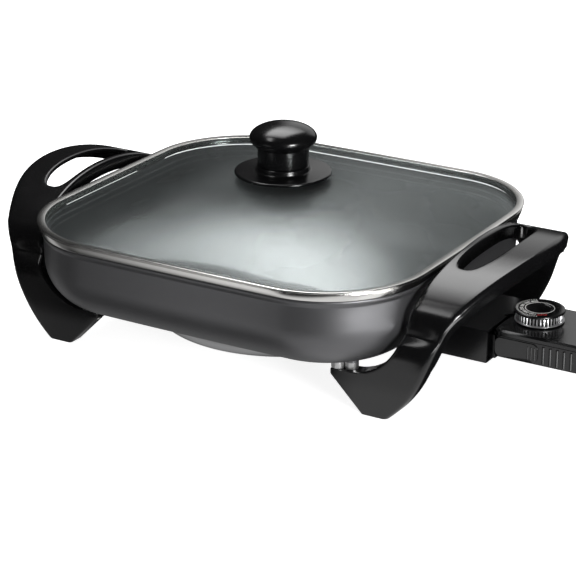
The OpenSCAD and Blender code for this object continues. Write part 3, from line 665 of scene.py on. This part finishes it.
def softened(node, name, body, finish, edge):
    """A CAD form with its edges rounded by a bevel."""
    mesh = merged_copy(node, name)
    mesh.set_sharp_from_angle(angle=math.radians(32))
    thing = piece(name, mesh, body, finish, node)
    bevel = thing.modifiers.new("rounded_edges", "BEVEL")
    bevel.width = edge / 1000
    bevel.segments = 3
    bevel.limit_method = "ANGLE"
    bevel.angle_limit = math.radians(40)
    bevel.use_clamp_overlap = True
    bevel.harden_normals = True


def coat_nodes(finish, *nodes):
    """Gives carried-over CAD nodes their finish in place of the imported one."""
    for node in nodes:
        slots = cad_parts[node].data.materials
        slots.clear()
        slots.append(finishes[finish])


def boss(shell, x, y, top, bottom, radius=4.6, bore=1.8, depth=6):
    """A screw boss: a round post from top down to bottom with a blind bore from below."""
    edge = 0.4
    shell.bridge(shell.add(lathe([
        [0, top], [radius, top], [radius, bottom + edge], [radius - edge, bottom],
        [bore, bottom], [bore, bottom + depth], [0, bottom + depth]], 40, x, y)))


def pan_mesh(s):
    """The pan: one closed skin from the underside, round the wall and lip, down to the
    cooking floor, and below it the element's rib, the screw posts and the probe's well. The
    sections' rows are [inset, height], and the lip's heights count from the rim."""
    pan = s.pan
    land, ledge = pan.wall - 0.9, -pan.ledge
    lip = eased([0, pan.top] + np.array([
        [0, -12], [0, -5], [-1.6, -2.6], [-2, -1.2], [-1.6, -0.2], [-0.8, 0], [2, 0],
        [2.6, -0.5], [2.8, ledge + 0.3], [land - 0.3, ledge - 0.1], [land, ledge - 0.6],
        [land, 2 * ledge], [pan.wall, 2 * ledge - 0.7], [pan.wall, 2 * ledge - 6]]), 0.8, 3)
    below = arc((pan.round, pan.wall_z), pan.round, 270, 180, 20)
    round_in = pan.round - pan.wall
    inside = arc((pan.round, pan.bottom + pan.floor + round_in), round_in, 180, 270, 16)
    shell = Shell()
    numbers = shell.add(pan_rings(pan, np.concatenate([below, lip, inside])))
    shell.bridge(numbers)
    shell.cap(numbers[0])
    shell.cap(numbers[-1])
    # The element's rib: its ring's radius, half its width, and its groove's radius and height.
    ring, rib, groove, z = 74, 6.5, 3.5, pan.bottom - 3
    half_mouth = math.degrees(math.acos(2 / groove))
    shell.bridge(shell.add(lathe(np.concatenate([
        [[ring + rib, pan.bottom + 1], [ring + rib, z - 1.5], [ring + rib - 0.5, z - 2]],
        arc((ring, z), groove, 270 + half_mouth, 630 - half_mouth, 24),
        [[ring - rib + 0.5, z - 2], [ring - rib, z - 1.5], [ring - rib, pan.bottom + 1]]]), 144)),
        rows=True)
    # Two posts for each leg, two for the socket and one for the dish: where and how low.
    root, arm, socket_z, dish_z = pan.bottom + 3, pan.bottom - s.handle.gap, 28.5, 17
    leg_post, next_post = np.array([pan.a - 46.7, s.handle.face - 5]), [9, -3]
    posts = [(sx * x, sy * y, arm) for x, y in (leg_post, leg_post + next_post)
             for sx, sy in ((1, 1), (1, -1), (-1, 1), (-1, -1))]
    posts += [(pan.a - 29.7, y, socket_z) for y in (27.5, -27.5)]
    for x, y, low in posts:
        boss(shell, x, y, root, low)
    boss(shell, 0, 0, pan.bottom + 1, dish_z, radius=8, depth=8)
    # The probe's well: its mouth and tip along X, its radius and bore, and its axis's height.
    mouth, tip, wide, bore, well_z = pan.a - 9, pan.a - 59.2, 6, 3, 31.5
    shell.bridge(shell.add(along_x([
        [0, tip - 3], [wide - 0.5, tip - 3], [wide, tip - 2.5], [wide, mouth - 0.5],
        [wide - 0.5, mouth], [bore + 0.2, mouth], [bore, mouth - 0.3], [bore, tip],
        [0, tip]], well_z)))
    return shell.mesh("pan_body", 28)


def dish_mesh(s):
    """The spun dish: its profile turned about the middle, with a window in the right-hand
    wall, closed by the walls between its outer and inner faces."""
    r, low, high, turn, sheet = 95, 16, s.pan.bottom, 10, 1
    # Points round it, half the window's width in degrees, and the row where the window starts.
    count, window, sill = 180, 15, 15
    wall, flats = low + turn + 1.7, (2, 30, 60)

    def face(inset):
        """The dish's section as [radius, height], inset from its outer face, turned."""
        return lathe(np.concatenate([
            [[flat, low + inset] for flat in flats],
            arc((r - turn, low + turn), turn - inset, 270, 360, 14),
            [[r - inset, wall], [r - inset, high - 3], [r - inset, high]]]), count, start=1)

    shell = Shell()
    both = shell.add(np.stack([face(0), face(sheet)]))
    degrees = (2 + 360 / count * np.arange(count)) % 360
    cut = np.minimum(degrees, 360 - degrees) < window
    keep = np.ones((both.shape[1] - 1, count), bool)
    keep[sill:, cut] = False
    for layer in both:
        shell.bridge(layer, keep=keep)
    shell.bridge(both[:, 0])
    shell.bridge(both[:, -1], keep=~cut[None])
    shell.bridge(both[:, sill], keep=cut[None])
    for column in np.flatnonzero(cut != np.roll(cut, 1)):
        shell.bridge(both[:, sill:, column], columns=False)
    return shell.mesh("dish", 30)


class GripForm:
    """The form of a handle: a path over the legs and the crest seen along X, and an inner and
    an outer edge along it."""

    def __init__(self, s):
        pan, h = s.pan, s.handle
        self.h = h
        # The crest's fall 100 mm from its middle, in its fourth power and in its square.
        self.quartic = 14.5
        self.square = (h.fall - self.quartic * 0.5 ** 4) / 0.5 ** 2
        # Where the upper leg stands, and where its roll over to the crest ends.
        self.upright = h.face - h.step
        self.roll_y = self.upright - 8
        tilt = math.atan(self.slope(self.roll_y))
        roll_r = (self.upright - self.roll_y) / (1 - math.sin(tilt))
        self.roll_z = self.crest(self.roll_y) - roll_r * math.cos(tilt)
        step_top, step_tall, shelf_part, shelf_power = self.roll_z - 5, 16, 0.4, 1.3
        # The outer edge leans by this slope through the waist, from the foot to the grip.
        self.lean_in = 0.36
        self.foot_outer = pan.a - h.foot_set
        self.waist_x, self.waist_z = pan.a + 25.1, 51
        rise = h.crest - self.waist_z
        self.flare = (h.outer - self.waist_x - self.lean_in * rise) / rise ** 3
        self.tuck = ((self.waist_x - self.lean_in * self.waist_z - self.foot_outer)
                     / self.waist_z ** 3)

        # Half of the step comes quickly, as a shelf in its upper part, and half slowly.
        leg = self.leg(pan)
        up = np.clip((step_top - leg[:, 1]) / step_tall, 0, 1)
        shelf = 1 - (1 - np.minimum(up / shelf_part, 1)) ** shelf_power
        leg_y = self.upright + h.step * (0.5 * shelf + 0.5 * (1 - (1 - up) ** 2))
        t = np.radians(np.linspace(90, math.degrees(tilt), 13)[1:])
        roll_y = self.roll_y + roll_r * (np.sin(t) - math.sin(tilt))
        crest_y = np.linspace(self.roll_y, 0, 34)[1:]
        y = np.concatenate([leg_y, roll_y, crest_y])
        # One smoothing pass blends the step, the roll and the crest.
        y[1:-1] = (y[:-2] + 2 * y[1:-1] + y[2:]) / 4
        z = np.concatenate([leg[:, 1], self.roll_z + roll_r * np.cos(t), self.crest(crest_y)])
        x = np.concatenate([leg[:, 0], self.inner_x(roll_y), self.inner_x(crest_y)])
        self.y = np.concatenate([-y, y[-2::-1]])
        self.z = np.concatenate([z, z[-2::-1]])
        self.inner = np.concatenate([x, x[-2::-1]])
        self.outer = self.outer_x(self.z)
        # How far the path leans back out to a slower swell at the leg's outer edge.
        fade_top, fade_tall = self.roll_z + 15, 44
        u = np.clip((fade_top - self.z) / fade_tall, 0, 1)
        swell = h.step * u * u * (3 - 2 * u)
        self.lean = np.sign(self.y) * (swell - np.clip(np.abs(self.y) - self.upright, 0, None))
        step_z = step_top - step_tall
        up = np.clip((self.z - step_z) / (h.crest - step_z), 0, 1)
        self.thick = h.leg + (h.deep - h.leg) * up

    def leg(self, pan):
        """A leg's inner edge as [x, z] from the foot up: the foot's slope and toe, the arm
        under the pan, and the arc that hugs the pan. Every point is lifted a hair more than
        the last, so that no two share a height."""
        h = self.h
        hug = pan.round + h.gap
        hug_x, arm = self.inner_x(h.face) - hug, pan.wall_z - hug
        heel, tip = self.foot_outer - h.foot, pan.a - 50.7
        rise = heel - tip
        slope = np.linspace(0, 1, 9)[:-1, None] * np.array([[-rise, rise]])
        toe = eased([[tip + 1, rise - 1], [tip, rise], [tip, arm], [tip + 6, arm],
                     [hug_x, arm + 0.02]], 1.2, 3)
        last = math.degrees(math.acos((pan.wall_z - self.roll_z) / hug))
        wrap = arc((hug_x, pan.wall_z), hug, 270, 270 + last, 90)
        leg = np.concatenate([slope + [heel, 0], toe[1:], wrap[1:]])
        leg[:, 1] += 0.001 * np.arange(len(leg))
        return leg

    def skin(self, x, depth):
        """Points of the sections at x, this deep under the skin. The step in the leg fades
        out across it: the path leans to a slower swell at the outer edge."""
        across = np.clip((x - self.inner[:, None]) / (self.outer - self.inner)[:, None], 0, 1)
        y = self.y[:, None] + across ** 3 * self.lean[:, None]
        z = np.broadcast_to(self.z[:, None], y.shape)
        d = np.stack([np.gradient(y, axis=0), np.gradient(z, axis=0)])
        d[0, [0, -1]] = 0
        d /= np.linalg.norm(d, axis=0)
        return np.stack([x, y + depth * d[1], z - depth * d[0]], -1)

    def crest(self, y):
        """Height of the crest: a square and a fourth power of the distance from the middle."""
        return self.h.crest - self.square * (y / 100) ** 2 - self.quartic * (y / 100) ** 4

    def slope(self, y):
        """How steeply the crest falls at y."""
        return (2 * self.square * y / 100 + 4 * self.quartic * (y / 100) ** 3) / 100

    def inner_x(self, y):
        """The inner edge: it draws in by the square of the distance from the middle."""
        return self.h.inner - 8.5 * (y / 100) ** 2

    def outer_x(self, z):
        """The outer edge: a straight slope that flares or tucks by the cube of the height
        above or below the waist."""
        rise = z - self.waist_z
        return (self.waist_x + self.lean_in * rise
                + np.where(rise > 0, self.flare, self.tuck) * rise ** 3)


def handle_mesh(s, side):
    """A handle and its two legs. A closed section (rounded inner and outer edges, flat skin,
    bevelled back) is carried along the path. Over the grip the flat of the skin and of the
    back gives way to rings that close in on the finger slot, whose outline is a superellipse,
    and the back rises to a thin skin outside the slot."""
    h, form = s.handle, GripForm(s)
    x0, x1, t = form.inner[:, None], form.outer[:, None], form.thick[:, None]
    flat = np.zeros((len(form.y), 1))
    # The section's inner and outer radii, its bevel and the points across each of its flats.
    ri, ro, bevel, span = 2.2, 4, 1, 12
    a, b = np.radians(np.linspace(0, 90, 6)), np.radians(np.linspace(90, 0, 10))
    share = np.linspace(0, 1, span + 2)[None, 1:-1]
    edge, walls = np.array([[1, 0.3, 0]]), np.array([[0.25, 0.6]])
    # Across and under the skin, round from the back's inner edge.
    x = np.concatenate([
        x0 + bevel * edge, x0 + 0 * walls, x0 + ri * (1 - np.cos(a)),
        (x0 + ri) * (1 - share) + (x1 - ro) * share, x1 - ro * (1 - np.cos(b)),
        x1 + 0 * walls, x1 - bevel * edge[:, ::-1],
        (x1 - bevel) * (1 - share) + (x0 + bevel) * share], 1)
    d = np.concatenate([
        t - bevel * edge[:, ::-1], (t - bevel) * (1 - walls) + ri * walls,
        flat + ri * (1 - np.sin(a)), flat + 0 * share, flat + ro * (1 - np.sin(b)),
        ro * (1 - walls) + (t - bevel) * walls, t - bevel * edge, t + 0 * share], 1)
    tube = form.skin(x, d)
    # The skin's flat lies from the first column to the last, and the back's flat after back.
    first = edge.size + walls.size + a.size - 1
    last = first + span + 1
    back = tube.shape[1] - span - 1
    grip_end = 76
    rows = np.flatnonzero(np.abs(form.y) <= grip_end + 1e-6)
    start, end = rows[0], rows[-1]
    shell = Shell()
    numbers = shell.add(tube)
    keep = np.ones((len(form.y) - 1, tube.shape[1]), bool)
    keep[start:end, first:last] = False
    keep[start:end, back:] = False
    shell.bridge(numbers, keep=keep)
    shell.cap(numbers[0])
    shell.cap(numbers[-1])

    # The rows and columns that bound the grip as a square, and the slot's outline from it.
    across = np.linspace(-1, 1, span + 2)[1:-1]
    along = form.y[rows] / form.y[end]
    square = np.concatenate([
        np.stack([-np.ones(len(rows)), along], 1), np.stack([across, np.ones(span)], 1),
        np.stack([np.ones(len(rows)), along[::-1]], 1),
        np.stack([across[::-1], -np.ones(span)], 1)])
    c, v = (square / (np.abs(square) ** 3).sum(1, keepdims=True) ** (1 / 3)).T
    inset, bow = 6.5, 5
    middle = h.inner + inset + h.slot_wide / 2
    slot = np.stack([middle - bow * v * v + h.slot_wide / 2 * c, h.slot_long / 2 * v], 1)
    tangent = np.roll(slot, -1, 0) - np.roll(slot, 1, 0)
    normal = np.stack([-tangent[:, 1], tangent[:, 0]], 1)
    normal /= np.linalg.norm(normal, axis=1, keepdims=True)

    def loop(inner_column, columns, outer_column):
        """Point numbers of the tube round the grip, in the order of the square."""
        return np.concatenate([numbers[rows, inner_column], numbers[end, columns],
                               numbers[rows[::-1], outer_column], numbers[start, columns[::-1]]])

    def level(plan, depth):
        """The plan's points, this deep under the crest."""
        return np.concatenate([plan, (form.crest(plan[..., 1]) - depth)[..., None]], -1)

    # The skin: the slot's rounded lip, then level rings out to the edge of the flat.
    points = tube.reshape(-1, 3)
    top_loop = loop(first, np.arange(first + 1, last), last)
    lip = 2
    near = slot + (lip * (1 - np.cos(a)))[:, None, None] * normal
    steps = np.linspace(0, 1, 8)[1:-1, None, None]
    plan = np.concatenate([near, near[-1] * (1 - steps) + points[top_loop, :2] * steps])
    depth = np.concatenate([lip * (1 - np.sin(a)), np.zeros(len(steps))])[:, None]
    top = shell.add(level(plan, depth))
    shell.bridge(np.concatenate([top, top_loop[None]]))

    # The back: a small lip, then thin outside the slot and full inside it, meeting the tube.
    back_loop = loop(0, np.arange(back + 1, tube.shape[1])[::-1], back)
    bound = points[back_loop]
    low = 0.6
    steps = np.array([0.3, 0.6, 0.84, 0.88, 0.94])[:, None]
    lipped = slot + low * normal
    plan = np.concatenate([slot[None], lipped[None], lipped * (1 - steps[..., None])
                           + bound[:, :2] * steps[..., None]])
    tilt = 1 / np.cos(np.arctan(form.slope(np.abs(slot[:, 1]))))
    deep = np.where(square[:, 0] > 0, h.skin, h.deep) * tilt
    depth = np.stack([deep - low, deep, deep, deep, deep, h.deep * tilt, h.deep * tilt])
    ease = np.concatenate([[[0], [0]], steps])
    full = form.crest(bound[:, 1]) - bound[:, 2]
    depth = np.where(depth >= h.deep * 0.99, depth * (1 - ease) + full * ease, depth)
    under = shell.add(level(plan, depth))
    shell.bridge(np.concatenate([under, back_loop[None]]))
    shell.bridge(np.stack([top[0], under[0]]))
    shell.points = [np.concatenate(shell.points) * [side, 1, 1]]
    return shell.mesh("handle", 30)


def glass_mesh(s):
    """The glass: the lid's outline drawn in at shares of its size and eased to a circle,
    rising as 1 - u^2 towards the crown, twice, for its two faces, closed at rim and hole."""
    pan, lid, crown = s.pan, s.lid, 0.23
    share = np.linspace(crown, 1, 36)[:, None]
    rise = lid.dome * (1 - ((share - crown) / (1 - crown)) ** 2)
    plan = pan_rings(pan, [[lid.lap, 0]], lid.overhang)[0][:, :2]
    reach = np.linalg.norm(plan, axis=1)[None]
    middle = pan.a + lid.overhang - lid.lap
    k = share * (share + (1 - share) * middle / reach)
    hole = np.linspace(0, 1, 4)[:-1, None]
    k = np.concatenate([hole * k[:1] + (1 - hole) * lid.hole / reach, k])
    rise = np.concatenate([np.full((len(hole), 1), lid.dome), rise])
    face = np.stack([k * plan[None, :, 0], k * plan[None, :, 1],
                     np.broadcast_to(lid.glass_z + rise, k.shape)], -1)
    edge = pan_rings(pan, eased([0, lid.glass_z] + np.array([
        [3.4, 0], [2.3, 0], [2.3, -lid.glass], [3.4, -lid.glass]]), 0.8, 3), lid.overhang)
    under = face[::-1] - [0, 0, lid.glass]
    return one_skin(np.concatenate([face, edge, under]), "glass")


def band_mesh(s):
    """The steel band: its folded section carried round the lid's outline. The section's rows
    are [inset, height, rounding]."""
    lid, lap, top, z = s.lid, s.lid.lap, s.lid.top, s.lid.glass_z
    under = z - lid.glass
    section = np.array([
        [2.6, lid.band_z, 0.2], [1.6, lid.band_z, 0.5], [0.4, top - 2.1, 0.2],
        [0.9, top - 1.8, 0.2], [0.9, top - 1.4, 0.2], [0.1, top - 1.1, 0.3],
        [0, top - 0.6, 0.4], [0.5, top, 0.4], [1.5, top, 0.4], [lap, z + 0.6, 0.3],
        [lap, z, 0.2], [2.2, z, 0.1], [2.2, under, 0.1], [lap, under, 0.2],
        [lap, under - 0.7, 0.2], [2.6, under - 0.7, 0.2]])
    section = eased(section[:, :2], section[:, 2], 3, closed=True)
    return one_skin(pan_rings(s.pan, section, lid.overhang), "band", 34)


def knob_base_mesh(s):
    """The heat disc and collar: one profile turned about the upright."""
    lid, bore, z = s.lid, s.lid.bore, s.lid.disc_z
    top = z + lid.disc_edge
    return one_skin(lathe(eased([
        [bore, z], [lid.disc - 0.6, z], [lid.disc, z + 0.6], [lid.disc, top - 0.6],
        [lid.disc - 0.7, top], [lid.neck + 1.6, top + 0.4], [lid.neck + 0.8, top + 1],
        [lid.neck + 0.6, lid.collar_z - 0.6], [lid.neck, lid.collar_z],
        [bore, lid.collar_z]], 0.5, closed=True), 144), "knob_base")


def knob_cap_mesh(s):
    """The cap: two half ellipses that meet at its widest place, on a short neck, turned."""
    lid, bore, bore_deep = s.lid, s.lid.bore, 12
    low = math.degrees(math.acos(lid.neck / lid.cap))
    t = np.radians(np.linspace(-low, 90, 40))
    height = np.where(t < 0, (lid.cap_mid - lid.neck_top) / math.sin(math.radians(low)),
                      lid.neck_top + lid.cap_tall - lid.cap_mid)
    side = np.stack([lid.cap * np.cos(t), lid.cap_mid + height * np.sin(t)], 1)
    foot = eased([[bore, lid.collar_z], [lid.neck - 0.6, lid.collar_z],
                  [lid.neck, lid.collar_z + 0.6], [lid.neck, lid.neck_top - 0.2]], 0.5, 3)
    well = lid.collar_z + bore_deep
    return one_skin(lathe(np.concatenate([
        [[0, well], [bore, well]], foot, side[:-1], [[0, side[-1, 1]]]]), 144), "knob_cap",
        rows=False)


def skirt_mesh(s, x, z0, z1):
    """The dial's skirt about x, from z0 up to z1: between a flange and a top edge its radius
    loses a rib's depth times a flattened cosine."""
    c, r, bore = s.control, s.control.skirt_r, 3
    depth, per = 0.7, 8
    step = np.arange(c.ribs * per)
    wave = 0.5 - 0.5 * np.clip(1.6 * np.cos(2 * np.pi * step / per), -1, 1)
    t = 2 * np.pi * step / len(step)
    wide, flange = c.dial - 0.4, z0 + 1
    rows = [[bore, z0, 0], [wide - 0.3, z0, 0], [wide, z0 + 0.3, 0], [wide, flange - 0.3, 0],
            [wide - 0.3, flange, 0], [r, flange, 1], [r, flange + 0.3, 1], [r, z1 - 0.4, 1],
            [r - 0.3, z1, 1], [bore, z1, 0]]
    radius, height, ribbed = np.array(rows).T[:, :, None]
    radius = radius - depth * wave[None] * ribbed
    return one_skin(np.stack([x + radius * np.cos(t), radius * np.sin(t),
                              np.broadcast_to(height, radius.shape)], -1), "skirt")


def dial_cap_mesh(s, x, z):
    """The dial's black top: a raised scale ring round a sunken middle, turned."""
    r = s.control.dial
    edge = eased([[r - 0.5, z], [r, z + 0.5], [r - 0.2, z + 1.6], [r - 0.8, z + 2],
                  [9.4, z + 2], [8.8, z + 1.2], [8.2, z + 1.1], [7.8, z + 1.45]], 0.35, 3)
    return one_skin(lathe(np.concatenate([[[0, z]], edge, [[0, z + 1.6]]]), 120, x),
                    "dial_cap", rows=False)


def scale_lines_mesh(x, z):
    """The dial's printed lines: a thin ring round its sunken middle, and a flat stroke near
    its rim every 6 degrees of the scale."""
    low, high, inside, outside = z - 0.04, z + 0.04, 9.7, 10.1
    near, far, half_wide = 14.7, 16.2, 0.16
    shell = Shell()
    shell.bridge(shell.add(lathe([[inside, low], [outside, low], [outside, high],
                                  [inside, high]], 120, x)), rows=True)
    box = np.array([[near, -half_wide], [far, -half_wide], [far, half_wide], [near, half_wide]])
    for t in np.radians(np.arange(-236, -72, 6)):
        plan = [x, 0] + box @ [[np.cos(t), np.sin(t)], [-np.sin(t), np.cos(t)]]
        loops = shell.add([np.column_stack([plan, np.full(4, h)]) for h in (low, high)])
        shell.bridge(loops)
        shell.cap(loops[0])
        shell.cap(loops[1])
    return shell.mesh("scale_lines")


def print_mesh(text, height, x, z, degrees):
    """Flat lettering this many metres high, made a mesh and then put in its place: round the
    upright through x, in metres, at z, reading from outside."""
    curve = bpy.data.curves.new("print", "FONT")
    curve.body = text
    curve.size = height
    curve.align_x = curve.align_y = "CENTER"
    curve.extrude = 0.00004
    curve.resolution_u = 3
    thing = bpy.data.objects.new("print", curve)
    bpy.context.scene.collection.objects.link(thing)
    bpy.context.view_layer.update()
    mesh = bpy.data.meshes.new_from_object(
        thing.evaluated_get(bpy.context.evaluated_depsgraph_get()))
    bpy.data.objects.remove(thing)
    ring_r, t = 0.0122, math.radians(degrees)
    mesh.transform(Matrix.Translation((x + ring_r * math.cos(t), ring_r * math.sin(t), z))
                   @ Matrix.Rotation(t - math.pi / 2, 4, "Z"))
    return mesh


def joined(meshes, name):
    """Several meshes as one."""
    work = bmesh.new()
    for mesh in meshes:
        work.from_mesh(mesh)
    one = bpy.data.meshes.new(name)
    work.to_mesh(one)
    work.free()
    return one


def aimed_at(thing, spot, aim):
    """Puts a lamp or the camera at spot, facing aim."""
    bpy.context.scene.collection.objects.link(thing)
    thing.location = spot
    thing.rotation_euler = (Vector(aim) - Vector(spot)).to_track_quat("-Z", "Y").to_euler()


def area_lamp(name, power, spot, aim, wide, tall):
    """A rectangular lamp at spot that shines towards aim."""
    light = bpy.data.lights.new(name, "AREA")
    light.energy = power
    light.shape = "RECTANGLE"
    light.size, light.size_y = wide, tall
    aimed_at(bpy.data.objects.new(name, light), spot, aim)


# ---- Operators ----------------------------------------------------------------------------

class BuildStep(Operator):
    """Shared by the steps that build the skillet"""
    bl_options = {"REGISTER", "UNDO"}


class SKILLET_OT_pan(BuildStep):
    """Builds the pan's smooth body and finishes it with non-stick coating"""
    bl_idname = "skillet.pan"
    bl_label = "Pan"

    def execute(self, context):
        piece("pan_body", pan_mesh(sizes()), "base", "nonstick", "pan")
        return {"FINISHED"}


class SKILLET_OT_underside(BuildStep):
    """Builds the reflector dish and finishes the element, bushes, pins and their screws"""
    bl_idname = "skillet.underside"
    bl_label = "Dish, element and terminals"

    def execute(self, context):
        piece("reflector_dish", dish_mesh(sizes()), "base", "sheet", "reflector_plate")
        coat_nodes("element", "heating_element")
        coat_nodes("ceramic", "terminal_bushes")
        coat_nodes("chrome", "terminal_pin_front", "terminal_pin_rear")
        coat_nodes("screw_steel", "reflector_washer", "reflector_screw", "guard_screws",
                   "handle_screws")
        return {"FINISHED"}


class SKILLET_OT_handles(BuildStep):
    """Builds the two moulded handles with their legs and finger slots"""
    bl_idname = "skillet.handles"
    bl_label = "Handles"

    def execute(self, context):
        for name, side in (("right", 1), ("left", -1)):
            piece(f"moulded_handle_{name}", handle_mesh(sizes(), side), "base",
                  "black_plastic", f"handle_{name}")
        return {"FINISHED"}


class SKILLET_OT_socket(BuildStep):
    """Builds the socket housing with rounded edges"""
    bl_idname = "skillet.socket"
    bl_label = "Socket housing"

    def execute(self, context):
        softened("terminal_guard", "socket_housing", "base", "black_plastic",
                 sizes().control.edge)
        return {"FINISHED"}


class SKILLET_OT_lid(BuildStep):
    """Builds the domed glass and the steel band round it"""
    bl_idname = "skillet.lid"
    bl_label = "Glass lid"

    def execute(self, context):
        s = sizes()
        piece("domed_glass", glass_mesh(s), "lid", "lid_glass", "lid_glass")
        piece("rolled_band", band_mesh(s), "lid", "steel_band", "lid_rim")
        return {"FINISHED"}


class SKILLET_OT_knob(BuildStep):
    """Builds the knob on the lid and finishes its seal, washer and screw"""
    bl_idname = "skillet.knob"
    bl_label = "Knob"

    def execute(self, context):
        s = sizes()
        piece("knob_heat_disc", knob_base_mesh(s), "lid", "black_plastic", "knob_base")
        piece("knob_grip", knob_cap_mesh(s), "lid", "black_plastic", "knob_cap")
        coat_nodes("seal", "knob_seal")
        coat_nodes("screw_steel", "knob_washer", "knob_screw")
        return {"FINISHED"}


class SKILLET_OT_control(BuildStep):
    """Builds the plug-in control's case and finishes the parts inside it"""
    bl_idname = "skillet.control"
    bl_label = "Temperature control"

    def execute(self, context):
        edge = sizes().control.edge
        softened("control_case_bottom", "case_lower", "control", "black_plastic", edge * 0.6)
        softened("control_case_top", "case_upper", "control", "black_plastic", edge * 0.5)
        coat_nodes("screw_steel", "case_screws")
        coat_nodes("brass", "thermostat_frame", "contact_sleeve_front", "contact_sleeve_rear")
        coat_nodes("bimetal", "bimetal_leaf")
        coat_nodes("chrome", "probe_rod")
        coat_nodes("lens", "indicator_lens")
        coat_nodes("matt_plastic", "cord_gland")
        return {"FINISHED"}


class SKILLET_OT_dial(BuildStep):
    """Builds the dial: ribbed silver skirt, black top and its printed scale"""
    bl_idname = "skillet.dial"
    bl_label = "Dial"

    def execute(self, context):
        s = sizes()
        low, high = (1000 * np.array(v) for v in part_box("dial_skirt"))
        x, flange, cap = (low[0] + high[0]) / 2, 1, 2
        top = low[2] + flange + s.control.skirt
        face = top + cap
        piece("dial_ribbed_skirt", skirt_mesh(s, x, low[2], top), "dial", "silver_plastic",
              "dial_skirt")
        piece("dial_top", dial_cap_mesh(s, x, top), "dial", "black_plastic", "dial_cap")
        coat_nodes("chrome", "dial_shaft")
        marks = [scale_lines_mesh(x, face)]
        for number, degrees in zip(range(150, 401, 50), range(-88, -229, -28)):
            marks.append(print_mesh(str(number), 0.0034, x / 1000, face / 1000, degrees))
        piece("dial_scale", joined(marks, "dial_scale"), "dial", "scale_print")
        off = print_mesh("OFF", 0.0038, x / 1000, face / 1000, -59)
        piece("dial_off_mark", off, "dial", "mark_print")
        return {"FINISHED"}


class SKILLET_OT_stage(BuildStep):
    """Builds the pale floor, the lamps, the world and the camera"""
    bl_idname = "skillet.stage"
    bl_label = "Stage"

    def execute(self, context):
        studio, scene = sizes().studio, context.scene
        reach = 4000
        eye_at, look_at = (0.749137, -1.247479, 0.5999), (0.003905, 0, 0.0339)
        floor = bpy.data.objects.new("floor", one_skin(
            [[[-reach, -reach, 0], [reach, -reach, 0]], [[-reach, reach, 0], [reach, reach, 0]]],
            "floor", rows=False, columns=False))
        scene.collection.objects.link(floor)
        floor.hide_render = not studio.show_floor
        floor.data.materials.append(pale_floor(studio.floor))
        scene.world = studio_world(scene.world or bpy.data.worlds.new("studio"))

        # Where each softbox hangs over the skillet, its size, and its power against the first.
        boxes = ((-0.33, 0.4, 0.6, 0.5, 1), (-0.33, 0.48, 0.66, 0.85, 1),
                 (-0.33, 0.58, 0.72, 1.25, 1), (-0.42, -0.46, 0.26, 0.6, 2.4))
        for k, (x, y, wide, tall, times) in enumerate(boxes):
            area_lamp(f"top_softbox_{k}", studio.key * wide * tall * times,
                      (x, y, 1.05 + 0.01 * k), (x, y, 0), wide, tall)
        area_lamp("front_strip", studio.strip, (1.05, -0.58, 0.2), (0.14, -0.12, 0.07), 0.3, 0.3)

        camera = bpy.data.cameras.new("camera")
        camera.sensor_width = 36
        camera.lens = studio.lens
        camera.clip_end = 20
        eye = bpy.data.objects.new("camera", camera)
        aimed_at(eye, eye_at, look_at)
        scene.camera = eye
        scene.view_settings.view_transform = "Standard"
        return {"FINISHED"}


class SKILLET_PT_panel(Panel):
    """Lists the steps that build the skillet and their sizes"""
    bl_idname = "SKILLET_PT_panel"
    bl_label = "Electric Skillet"
    bl_space_type = "VIEW_3D"
    bl_region_type = "UI"
    bl_category = "Skillet"

    def draw(self, context):
        for step in STEPS:
            self.layout.operator(step.bl_idname)
        kit = context.scene.skillet
        for title, group in (("Pan", kit.pan), ("Lid and knob", kit.lid),
                             ("Handles", kit.handle), ("Control", kit.control),
                             ("Colours", kit.colours), ("Studio", kit.studio)):
            box = self.layout.box()
            box.label(text=title)
            for name in group.__annotations__:
                box.prop(group, name)


STEPS = (SKILLET_OT_pan, SKILLET_OT_underside, SKILLET_OT_handles, SKILLET_OT_socket,
         SKILLET_OT_lid, SKILLET_OT_knob, SKILLET_OT_control, SKILLET_OT_dial,
         SKILLET_OT_stage)
GROUPS = (SkilletPanSizes, SkilletLidSizes, SkilletHandleSizes, SkilletControlSizes,
          SkilletColours, SkilletStudio, SkilletSettings)


def register():
    for group in GROUPS + STEPS + (SKILLET_PT_panel,):
        bpy.utils.register_class(group)
    bpy.types.Scene.skillet = PointerProperty(type=SkilletSettings)


def unregister():
    del bpy.types.Scene.skillet
    for group in reversed(GROUPS + STEPS + (SKILLET_PT_panel,)):
        bpy.utils.unregister_class(group)


def main():
    register()
    make_finishes()
    for step in STEPS:
        family, name = step.bl_idname.split(".")
        getattr(getattr(bpy.ops, family), name)()


if __name__ == "__main__":
    main()
